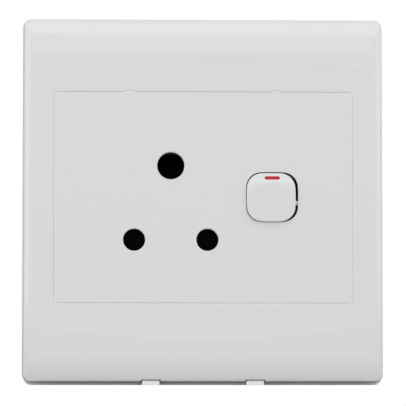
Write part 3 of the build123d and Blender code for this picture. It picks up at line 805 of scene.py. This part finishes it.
    def rim(self, outer: Vector, deeper: Vector, index: int) -> Ring:
        """Points over the rim of the cover at one place, from its front down to its seat.

        Args:
            outer: place on the outline of the sides at the wall.
            deeper: the same place on an outline that is smaller by the probe.
            index: number of the place along the ring.

        Returns:
            The points.
        """
        inward = (deeper - outer) / self.probe
        lean = math.tan(math.radians(self.draft))
        lower_edge = self.places_x()
        notched = index < len(lower_edge) and self.pry.holds(lower_edge[index])
        inset = 0.0
        for _ in range(0 if notched else self.lean_tries):
            height = -self.on_front(outer + inward * inset).y
            inset = (height - self.seat) * lean
        edge = self.on_front(outer + inward * inset)
        on_top = self.on_front(outer + inward * (inset + self.edge_round))
        low = -edge.y - self.edge_round
        slip = 0.0 if notched else (low - self.seat) * lean
        below = outer + inward * slip
        on_side = at_height(below.x, low, below.y)
        return [on_top, *soften(on_top, edge, on_side), on_side, at_height(outer.x, self.seat, outer.y)]

    def build(self) -> Piece:
        """Build the cover.

        Returns:
            The piece.
        """
        low = self.front - self.field_sink
        plain = self.ring(self.opening(0.0))
        notched = self.ring(self.opening(0.0), top=self.latches)
        eased = self.ring(self.opening(self.opening_ease), top=self.latches)
        collar = self.ring(self.opening(self.collar_wall))
        loops = [
            self.flat_ring(plain, self.collar_back),
            self.flat_ring(plain, self.latch_floor),
            self.flat_ring(notched, self.latch_floor),
            self.flat_ring(notched, low - self.opening_round),
            self.flat_ring(eased, low - self.opening_ease),
        ]
        loops += [self.field_ring(share) for share in self.FIELD_SHARES]
        loops += [self.field_ring(0.0, share * self.crease_width) for share in self.CREASE_SHARES]
        loops += self.rolled_rings()
        loops += [
            self.flat_ring(self.ring(self.side_outline(self.wall)), self.seat),
            self.front_ring(self.side_outline(self.rim_wall), self.wall),
            self.front_ring(self.rolled(self.INNER_SHARE), self.wall),
            self.flat_ring(self.ring(self.rolled(0.0)), self.front - self.wall),
            self.flat_ring(collar, low - self.wall),
            self.flat_ring(collar, self.collar_back),
        ]
        maker = MeshMaker()
        maker.skin(loops, ring=True)
        piece = maker.piece("cover_shell")
        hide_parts("cover_plate")
        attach(piece, SOCKET)
        return piece


@dataclass
class Squircle:
    """Outline with bulging sides and large round corners, about its own middle."""

    half_width: float
    half_height: float
    bulge: float
    corner: float
    side_steps: int = 14
    corner_steps: int = 12

    def ring(self, inset: float = 0.0) -> list[Place]:
        """Points round the outline, anticlockwise from just above the middle of the right side.

        Args:
            inset: how far inside the outline the ring lies.

        Returns:
            The points.
        """
        radius_x = ((self.half_height - self.bulge) ** 2 + self.bulge**2) / (2 * self.bulge)
        radius_z = ((self.half_width - self.bulge) ** 2 + self.bulge**2) / (2 * self.bulge)
        side = Vector((self.half_width - radius_x, 0.0))
        top = Vector((0.0, self.half_height - radius_z))
        middle = self.meet(side, radius_x - self.corner, top, radius_z - self.corner)
        side_end = math.atan2(middle.y - side.y, middle.x - side.x)
        top_end = math.atan2(middle.y - top.y, middle.x - top.x)
        quarter = self.sweep(side, radius_x - inset, 0.0, side_end, self.side_steps)
        quarter += self.sweep(middle, self.corner - inset, side_end, top_end, self.corner_steps)
        quarter += self.sweep(top, radius_z - inset, top_end, math.pi / 2, self.side_steps)
        second = [(-x, z) for x, z in reversed(quarter)]
        half = quarter + [(0.0, self.half_height - inset)] + second + [(inset - self.half_width, 0.0)]
        return half + [(-x, -z) for x, z in half]

    @staticmethod
    def sweep(middle: Vector, radius: float, start: float, end: float, steps: int) -> list[Place]:
        """Points along an arc, without its two ends.

        Args:
            middle: centre of the arc.
            radius: its radius.
            start: the angle that it starts at, in radians.
            end: the angle that it ends at, in radians.
            steps: how many points there are.

        Returns:
            The points.
        """
        angles = [start + (end - start) * (step + 0.5) / steps for step in range(steps)]
        return [(middle.x + radius * math.cos(a), middle.y + radius * math.sin(a)) for a in angles]

    @staticmethod
    def meet(first: Vector, first_radius: float, second: Vector, second_radius: float) -> Vector:
        """Upper right crossing of two circles.

        Args:
            first: centre of one circle.
            first_radius: its radius.
            second: centre of the other circle.
            second_radius: its radius.

        Returns:
            The crossing.
        """
        line = second - first
        span = line.length
        along = (first_radius**2 - second_radius**2 + span**2) / (2 * span)
        across = math.sqrt(max(first_radius**2 - along**2, 0.0))
        unit = line / span
        base = first + unit * along
        normal = Vector((-unit.y, unit.x))
        return max((base + normal * across, base - normal * across), key=lambda point: point.x + point.y)


@dataclass
class Rocker:
    """Tipping key of the switch with its brow, its flat face and its coloured mark."""

    pivot: Vector = field(default_factory=lambda: at_height(23.5 * MM, 8.5 * MM, -1.18 * MM))
    tilt: float = 6.0
    half_width: float = 8.5 * MM
    half_height: float = 8.4 * MM
    bulge: float = 0.5 * MM
    corner: float = 5.2 * MM
    rise: float = 2.05 * MM
    face_reach: float = 2.5 * MM
    crest_up: float = 6.75 * MM
    side_band: float = 1.15 * MM
    brow_width: float = 3.6 * MM
    brow_slope: float = 9.0
    brow_fall: float = 1.2 * MM
    roundness: float = 2.6
    edge: float = 0.45 * MM
    skirt: float = 2.5 * MM
    wall: float = 1.6 * MM
    hollow_reach: float = -0.3 * MM
    pivot_radius: float = 0.8 * MM
    pivot_tip_radius: float = 0.1 * MM
    pivot_half_length: float = 9.8 * MM
    pivot_overlap: float = 0.3 * MM
    pivot_chamfer: float = 0.15 * MM
    pivot_sides: int = 20
    stem_radius: float = 3.0 * MM
    stem_reach: float = -9.0 * MM
    stem_chamfer: float = 0.2 * MM
    stem_sides: int = 32
    bore_radius: float = 1.65 * MM
    bore_reach: float = -2.3 * MM
    mark_up: float = 8.75 * MM
    mark_across: float = 0.35 * MM
    mark_half_length: float = 2.65 * MM
    mark_half_width: float = 0.575 * MM
    mark_depth: float = 0.7 * MM
    mark_proud: float = 0.07 * MM
    mark_steps: int = 10

    FACE_SHARES = (0.05, 0.12, 0.2, 0.3, 0.4, 0.5, 0.58, 0.66, 0.73, 0.79, 0.84, 0.88, 0.92, 0.95, 0.98, 1.0)
    OUTER_REACHES = (0.0, -0.8 * MM, -1.6 * MM)
    INNER_REACH = -1.2 * MM
    MARK_EDGE = ((0.0, 0.03 * MM), (0.04 * MM, 0.06 * MM))
    MARK_INSETS = (0.15 * MM, 0.35 * MM)

    def reach(self, across: float, up: float) -> float:
        """How far the front stands out from the pivot line on a level rocker.

        Args:
            across: place to the right of the pivot.
            up: place above the pivot.

        Returns:
            The distance.
        """
        tilt = math.radians(self.tilt)
        face = (self.face_reach - up * math.sin(tilt)) / math.cos(tilt)
        x = abs(across) / (self.half_width - self.side_band)
        z = max(up, 0.0) / self.crest_up
        beyond = (x**self.roundness + z**self.roundness) ** (1.0 / self.roundness) - 1.0
        if beyond <= 0.0:
            return face
        run = min(beyond * self.crest_up, self.brow_width)
        return face - arc_fall(run, self.brow_width, self.brow_slope, self.brow_fall)

    def put(self, across: float, up: float, reach: float) -> Vector:
        """Point of the tilted rocker, given by its place on a level one."""
        return self.pivot + Matrix.Rotation(math.radians(self.tilt), 3, "X") @ Vector((across, -reach, up))

    def pull(self, place: Place, reach: float) -> Triple:
        """Follow the round of the upper and lower walls, which turn about the pivot.

        Args:
            place: place on the outline, about the rocker's middle.
            reach: how far in front of the pivot.

        Returns:
            The coordinates across, up and out.
        """
        across, up = place[0], place[1] + self.rise
        limit = self.half_height + (self.rise if up > 0 else -self.rise)
        bend = math.sqrt(limit**2 - reach**2) / limit if reach < 0 or up > 0 else 1.0
        return across, up * bend, reach

    def face_point(self, across: float, up: float) -> Vector:
        """Across, up and out of a point on a level rocker's front, by its place about the middle."""
        return Vector((across, up + self.rise, self.reach(across, up + self.rise)))

    def wall_ring(self, outline: Squircle, inset: float, reach: float) -> Ring:
        """Ring of points on the outside or the inside of the walls."""
        return [self.put(*self.pull(place, reach)) for place in outline.ring(inset)]

    def body(self) -> Piece:
        """Build the key itself.

        Returns:
            The piece.
        """
        outline = Squircle(self.half_width, self.half_height, self.bulge, self.corner)
        edge_ring = outline.ring(self.edge)
        loops = [[self.put(*self.face_point(x * t, z * t)) for x, z in edge_ring] for t in self.FACE_SHARES]
        rounds = []
        for inner, outer in zip(edge_ring, outline.ring()):
            rim = self.face_point(*outer).z
            on_wall = Vector(self.pull(outer, rim - self.edge))
            bend = soften(self.face_point(*inner), Vector(self.pull(outer, rim)), on_wall)
            rounds.append([self.put(*point) for point in (*bend, on_wall)])
        loops += [list(row) for row in zip(*rounds)]
        loops += [self.wall_ring(outline, 0.0, reach) for reach in (*self.OUTER_REACHES, -self.skirt)]
        inside = (-self.skirt, self.INNER_REACH, self.hollow_reach)
        loops += [self.wall_ring(outline, self.wall, reach) for reach in inside]
        maker = MeshMaker()
        rows = maker.skin(loops)
        maker.cap(rows[0], self.put(*self.face_point(0.0, 0.0)))
        maker.cap(rows[-1], self.put(0.0, self.rise, self.hollow_reach))
        self.add_stem(maker)
        self.add_pivots(maker)
        return maker.piece("rocker_key")

    def add_stem(self, maker: MeshMaker) -> None:
        """Add the bored stem that carries the plunger.

        Args:
            maker: the mesh to add it to.
        """
        outside, inside, back, small = self.stem_radius, self.bore_radius, self.stem_reach, self.stem_chamfer
        profile = (
            (outside, self.hollow_reach),
            (outside, back + small),
            (outside - small, back),
            (inside + small, back),
            (inside, back + small),
            (inside, self.bore_reach),
        )
        maker.turned(profile, self.put, self.stem_sides)

    def add_pivots(self, maker: MeshMaker) -> None:
        """Add the two pivot pins at the sides.

        Args:
            maker: the mesh to add them to.
        """
        radius, small = self.pivot_radius, self.pivot_chamfer
        for side in (-1, 1):
            start, end = side * (self.half_width - self.pivot_overlap), side * self.pivot_half_length
            profile = (
                (radius, start),
                (radius, end - side * small),
                (radius - small, end),
                (self.pivot_tip_radius, end),
            )
            maker.turned(profile, lambda a, b, along: self.put(along, a, b), self.pivot_sides)

    def mark_ring(self, inset: float, proud: float) -> Ring:
        """Ring of the coloured bar.

        Args:
            inset: how far inside its outline the ring lies.
            proud: how far it stands out of the brow.

        Returns:
            The points of the ring.
        """
        middle = self.mark_half_length - self.mark_half_width
        places = []
        for x, start in ((middle, -90.0), (middle, 0.0), (-middle, 90.0), (-middle, 180.0)):
            places += round_corner((x, 0.0), self.mark_half_width - inset, start, self.mark_steps)
        return [self.mark_point(x, z + self.mark_up, proud) for x, z in places]

    def mark_point(self, x: float, up: float, proud: float) -> Vector:
        """Point of the bar, which lies a little to the right of the brow that it follows."""
        return self.put(x + self.mark_across, up, self.reach(x, up) + proud)

    def mark(self) -> Piece:
        """Build the coloured bar that is let into the brow.

        Returns:
            The piece.
        """
        top = [(inset, self.mark_proud) for inset in self.MARK_INSETS]
        rings = [(0.0, -self.mark_depth), *self.MARK_EDGE, *top]
        maker = MeshMaker()
        rows = maker.skin([self.mark_ring(inset, proud) for inset, proud in rings])
        maker.cap(rows[0], self.mark_point(0.0, self.mark_up, -self.mark_depth))
        maker.cap(rows[-1], self.mark_point(0.0, self.mark_up, self.mark_proud))
        return maker.piece("rocker_mark")

    def build(self) -> list[Piece]:
        """Build the key and its mark.

        Returns:
            The pieces.
        """
        body, mark = self.body(), self.mark()
        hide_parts("rocker")
        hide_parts("red_indicator")
        for piece in (body, mark):
            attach(piece, "rocker")
        return [body, mark]


@dataclass
class Screws:
    """Slotted screws of one size, with rolled threads."""

    node: str
    heads: tuple[Place, ...]
    facing: Side
    seat: float
    length: float
    radius: float
    head_radius: float
    head_height: float
    pitch: float
    neck: float = 0.0
    neck_radius: float = 0.0
    slot: str = "zinc_steel"
    sides: int = 24
    slot_width: float = 0.8 * MM
    slot_depth: float = 0.8 * MM
    head_chamfer: float = 0.1 * MM
    overlap: float = 0.2 * MM

    THREAD_DEPTH = 0.55
    FLAT_SHARE = 0.97
    RINGS_PER_TURN = 8
    DOME = ((1.0, 0.55 * MM), (0.96, 0.3 * MM), (0.86, 0.1 * MM), (0.7, 0.0))
    SHARP_ANGLE = 50.0

    def beside(self, head: Place, distance: float, across: float = 0.0, up: float = 0.0) -> Vector:
        """Point beside a screw's axis, a distance down the shank from under the head."""
        return at_height(head[0] + across, self.seat - self.facing.value * distance, head[1] + up)

    def circle(self, head: Place, distance: float, radius: Callable[[float], float]) -> Ring:
        """Ring of points round a screw's axis, whose radius depends on the angle."""
        rays = [(radius(a), a) for a in (math.tau * step / self.sides for step in range(self.sides))]
        return [self.beside(head, distance, r * math.cos(a), r * math.sin(a)) for r, a in rays]

    def shank(self, maker: MeshMaker, head: Place) -> None:
        """Add the neck and the threaded part, which ends in a small taper.

        Args:
            maker: the mesh to add it to.
            head: place of the screw in the plane of the wall.
        """
        depth = self.THREAD_DEPTH * self.pitch
        threaded = self.length - self.neck
        count = int(threaded / self.pitch * self.RINGS_PER_TURN)
        root = self.neck_radius or self.radius - depth / 2
        loops = [self.circle(head, distance, lambda angle: root) for distance in (-self.overlap, self.neck)]
        for step in range(1, count + 1):
            run = threaded * step / count
            strength = min(1.0, (threaded - run) / self.pitch) * min(1.0, run / self.pitch)
            turns = (self.neck + run) / self.pitch

            def radius(angle: float, turns: float = turns, share: float = strength) -> float:
                """Radius of the thread at an angle."""
                phase = (turns - angle / math.tau) % 1.0
                return self.radius - depth + depth * smooth_step(abs(2.0 * phase - 1.0)) * share

            loops.append(self.circle(head, self.neck + run, radius))
        rows = maker.skin(loops)
        maker.cap(rows[0], self.beside(head, -self.overlap))
        maker.cap(rows[-1], self.beside(head, self.length))

    def half_ring(self, head: Place, side: float, radius: float, height: float) -> Ring:
        """Ring round the part of the head that lies on one side of the slot.

        Args:
            head: place of the screw.
            side: 1 for the part above the slot, -1 for the part below it.
            radius: radius of the head there.
            height: how far the ring lies above the seat of the head.

        Returns:
            The points of the ring.
        """
        start = math.asin(self.slot_width / 2 / radius)
        angles = [start + (math.pi - 2 * start) * step / self.sides for step in range(self.sides + 1)]
        spots = [(radius * math.cos(angle), side * radius * math.sin(angle)) for angle in angles]
        return [self.beside(head, -height, *spot) for spot in spots]

    def head(self, maker: MeshMaker, place: Place) -> None:
        """Add the domed head, whose two halves stand either side of the slot.

        Args:
            maker: the mesh to add it to.
            place: place of the screw in the plane of the wall.
        """
        base, floor = self.head_radius, self.head_height - self.slot_depth
        profile = [(1.0, floor), *((share, self.head_height - under) for share, under in self.DOME)]
        for side in (-1.0, 1.0):
            loops = [self.half_ring(place, side, base * share, height) for share, height in profile]
            rows = maker.skin(loops)
            for row, height in ((rows[0], floor), (rows[-1], self.head_height)):
                maker.cap(row, self.beside(place, -height, 0.0, side * self.slot_width / 2))
        under = ((base / 2, 0.0), (self.FLAT_SHARE * base, 0.0), (base, self.head_chamfer))
        disc = (*under, (base, floor), (base / 2, floor))
        maker.turned(disc, lambda a, b, out: self.beside(place, -out, a, b), 2 * self.sides)

    def build(self) -> Piece:
        """Build all the screws as one piece.

        Returns:
            The piece.
        """
        maker = MeshMaker()
        for place in self.heads:
            self.shank(maker, place)
            self.head(maker, place)
        piece = maker.piece(self.node + "_threaded", self.SHARP_ANGLE)
        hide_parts(self.node)
        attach(piece, SOCKET)
        return piece


@dataclass
class Fasteners:
    """All the screws of the socket."""

    box_rise: float = 42.0 * MM
    ear_x: float = 43.0 * MM
    ear_z: float = 25.0 * MM
    terminals: dict[str, Place] = field(default_factory=lambda: {
        "neutral_terminal_screw": (-24.0 * MM, -23.48 * MM),
        "line_terminal_screw": (23.6 * MM, -23.48 * MM),
        "earth_terminal_screw": (-11.3 * MM, 22.82 * MM),
    })

    def sets(self) -> list[Screws]:
        """Describe the sets of screws.

        Returns:
            The sets, each with the node that it replaces.
        """
        ears = tuple((x, z) for x in (-self.ear_x, self.ear_x) for z in (-self.ear_z, self.ear_z))
        lugs = ((0.0, self.box_rise), (0.0, -self.box_rise))
        box = Screws(
            "box_screws", lugs, Side.ROOM, seat=2.2 * MM, length=25.0 * MM, radius=1.75 * MM,
            head_radius=3.1 * MM, head_height=2.0 * MM, pitch=0.6 * MM, neck=2.2 * MM, neck_radius=1.55 * MM,
        )
        housing = Screws(
            "housing_screws", ears, Side.WALL, seat=-1.5 * MM, length=7.0 * MM, radius=1.4 * MM,
            head_radius=2.6 * MM, head_height=1.6 * MM, pitch=0.7 * MM,
        )
        clamps = [
            Screws(
                node, (place,), Side.WALL, seat=-19.6 * MM, length=3.46 * MM, radius=1.5 * MM,
                head_radius=2.7 * MM, head_height=2.0 * MM, pitch=0.5 * MM,
            )
            for node, place in self.terminals.items()
        ]
        return [box, housing, *clamps]


def stand(made: bpy.types.Object, place: Vector, target: Vector) -> None:
    """Put a lamp or the camera into the scene, looking at a target.

    Args:
        made: the lamp or camera.
        place: where it stands.
        target: the point that it looks at.
    """
    made.location = place
    made.rotation_mode = "QUATERNION"
    made.rotation_quaternion = (target - place).to_track_quat("-Z", "Y")
    bpy.context.scene.collection.objects.link(made)


@dataclass(frozen=True)
class SoftBox:
    """A rectangular lamp that looks at the middle of the socket."""

    name: str
    place: Triple
    size: Place
    watts: float

    def build(self) -> None:
        """Add the lamp."""
        data = bpy.data.lights.new(self.name, "AREA")
        data.shape = "RECTANGLE"
        data.size, data.size_y = self.size
        data.energy = self.watts
        stand(bpy.data.objects.new(self.name, data), Vector(self.place), Vector((0.0, 0.0, 0.0)))


@dataclass
class Studio:
    """Camera, lamps, floor and surroundings."""

    distance: float = 1.0546
    azimuth: float = -2.0
    elevation: float = -4.0
    lens: float = 268.6
    sensor: float = 36.0
    near: float = 0.05
    far: float = 20.0
    centre: Vector = field(default_factory=lambda: at_height(0.0, 5.0 * MM, 0.0))
    aim: Vector = field(default_factory=lambda: at_height(0.02 * MM, 5.0 * MM, -0.99 * MM))
    sky_colour: Paint = (0.97, 0.98, 1.0, 1.0)
    sky_strength: float = 0.54
    floor_z: float = -64.4 * MM
    floor_half: float = 3.0
    floor_colour: Paint = (0.85, 0.85, 0.85, 1.0)
    floor_roughness: float = 0.9
    floor_shine: float = 0.1
    fade_from: float = 0.35
    fade_to: float = 1.5

    LAMPS = (
        SoftBox("front_top", (0.0, -0.85, 1.81), (1.8, 0.9), 8.5),
        SoftBox("front_high", (0.0, -1.75, 1.2), (1.8, 0.6), 8.5),
        SoftBox("left_side", (-1.88, -0.61, 0.28), (1.5, 1.6), 15.5),
        SoftBox("right_side", (1.88, -0.61, 0.28), (1.5, 1.6), 13.5),
    )

    def camera(self) -> None:
        """Make the camera at the photograph's viewing angle."""
        data = bpy.data.cameras.new("studio_camera")
        data.lens, data.sensor_width = self.lens, self.sensor
        data.clip_start, data.clip_end = self.near, self.far
        made = bpy.data.objects.new("studio_camera", data)
        azimuth, elevation = math.radians(self.azimuth), math.radians(self.elevation)
        level = math.cos(elevation)
        back = Vector((math.sin(azimuth) * level, -math.cos(azimuth) * level, math.sin(elevation)))
        stand(made, self.centre + back * self.distance, self.aim)
        bpy.context.scene.camera = made

    def world(self) -> None:
        """Set a dim even sky that looks white to the camera and in reflections."""
        world = bpy.data.worlds.new("studio_surroundings")
        bpy.context.scene.world = world
        world.use_nodes = True
        world.node_tree.nodes.clear()
        nodes = NodeTree(world.node_tree)
        path = nodes.node("ShaderNodeLightPath").outputs
        seen = nodes.maths("MAXIMUM", path["Is Camera Ray"], path["Is Glossy Ray"])
        seen = nodes.maths("MAXIMUM", seen, path["Is Transmission Ray"])
        dim = nodes.node("ShaderNodeBackground", {"Color": self.sky_colour, "Strength": self.sky_strength})
        white = nodes.node("ShaderNodeBackground", {"Color": WHITE, "Strength": 1.0})
        mix = nodes.node("ShaderNodeMixShader", {0: seen, 1: dim.outputs[0], 2: white.outputs[0]})
        nodes.node("ShaderNodeOutputWorld", {"Surface": mix.outputs[0]})

    def floor_finish(self) -> bpy.types.Material:
        """Build the floor's material, which the camera doesn't see from below or far from the socket.

        Returns:
            The new material.
        """
        made = bpy.data.materials.new("Pale floor")
        made.use_nodes = True
        nodes = NodeTree(made.node_tree)
        shader = made.node_tree.nodes["Principled BSDF"]
        shader.inputs["Base Color"].default_value = self.floor_colour
        shader.inputs["Roughness"].default_value = self.floor_roughness
        shader.inputs["Specular IOR Level"].default_value = self.floor_shine
        geometry = nodes.node("ShaderNodeNewGeometry").outputs
        span = nodes.node("ShaderNodeVectorMath", {0: geometry["Position"]}, operation="LENGTH")
        fade = nodes.spread(span.outputs["Value"], self.fade_from, self.fade_to, easing="SMOOTHSTEP")
        hidden = nodes.maths("MAXIMUM", geometry["Backfacing"], fade)
        clear = nodes.node("ShaderNodeBsdfTransparent").outputs[0]
        share = nodes.maths("MULTIPLY", hidden, nodes.node("ShaderNodeLightPath").outputs["Is Camera Ray"])
        mix = nodes.node("ShaderNodeMixShader", {0: share, 1: shader.outputs[0], 2: clear})
        nodes.feed(mix.outputs[0], made.node_tree.nodes["Material Output"].inputs["Surface"])
        return made

    def floor(self) -> None:
        """Lay the floor under the socket."""
        maker, half = MeshMaker(), self.floor_half
        corners = ((-half, -half), (half, -half), (half, half), (-half, half))
        maker.bm.faces.new(maker.loop(Vector((x, y, self.floor_z)) for x, y in corners))
        piece = maker.piece("studio_floor")
        piece.data.materials.append(self.floor_finish())

    def build(self) -> None:
        """Set up everything round the socket."""
        bpy.context.scene.view_settings.view_transform = "Standard"
        self.camera()
        for lamp in self.LAMPS:
            lamp.build()
        self.world()
        self.floor()


@dataclass
class PackedPieces:
    """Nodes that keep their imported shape, with softened edges."""

    rounds: dict[str, float] = field(default_factory=lambda: {
        "face_panel": 0.08 * MM,
        "backing_frame": 0.2 * MM,
        "rear_housing": 0.25 * MM,
    })
    segments: int = 2
    least_turn: float = 50.0

    def soften(self) -> None:
        """Round the edges of the moulded pieces that turn by more than the least turn."""
        for name, width in self.rounds.items():
            bevel = frame["nodes"][name].modifiers.new("Soft edges", "BEVEL")
            bevel.width = width
            bevel.segments = self.segments
            bevel.limit_method = "ANGLE"
            bevel.angle_limit = math.radians(self.least_turn)
            bevel.harden_normals = True


@dataclass(frozen=True)
class CoilSpring:
    """A packed coil spring with its sliding joint, its two ends and its travel."""

    node: str
    joint: str
    fixed_end: Vector
    moving_end: Vector
    travel: float

    def follow(self) -> None:
        """Give the coil its own copy of its mesh."""
        along = self.moving_end - self.fixed_end
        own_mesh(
            frame["nodes"][self.node], self.joint, axis=tuple(along.normalized()),
            anchor=tuple(self.fixed_end), keep=1.0 - self.travel / along.length,
        )


SPRINGS = (
    CoilSpring(
        "shutter_spring", "shutter_slide", at_height(-11.3 * MM, 5.2 * MM, -26.0 * MM),
        at_height(-11.3 * MM, 5.2 * MM, -4.0 * MM), 9.2 * MM,
    ),
    CoilSpring(
        "plunger_spring", "plunger_slide", at_height(23.6 * MM, 6.32 * MM, -0.95 * MM),
        at_height(23.6 * MM, 3.14 * MM, -0.62 * MM), 0.8 * MM,
    ),
)


def main() -> None:
    """Dress the socket and light it."""
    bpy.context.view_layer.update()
    Studio().build()
    finishes = FinishLibrary()
    finishes.dress_nodes()
    PackedPieces().soften()
    for spring in SPRINGS:
        spring.follow()
        log.info("spring: %s", spring.node)
    cover = CoverPlate().build()
    finishes.dress(cover, "white_plastic")
    log.info("cover: %s", cover.name)
    key, mark = Rocker().build()
    finishes.dress(key, "rocker_plastic")
    finishes.dress(mark, "red_plastic")
    log.info("rocker: %s, %s", key.name, mark.name)
    for screws in Fasteners().sets():
        piece = screws.build()
        finishes.dress(piece, screws.slot)
        log.info("screws: %s", piece.name)


if __name__ == "__main__":
    logging.basicConfig(level=logging.INFO)
    main()
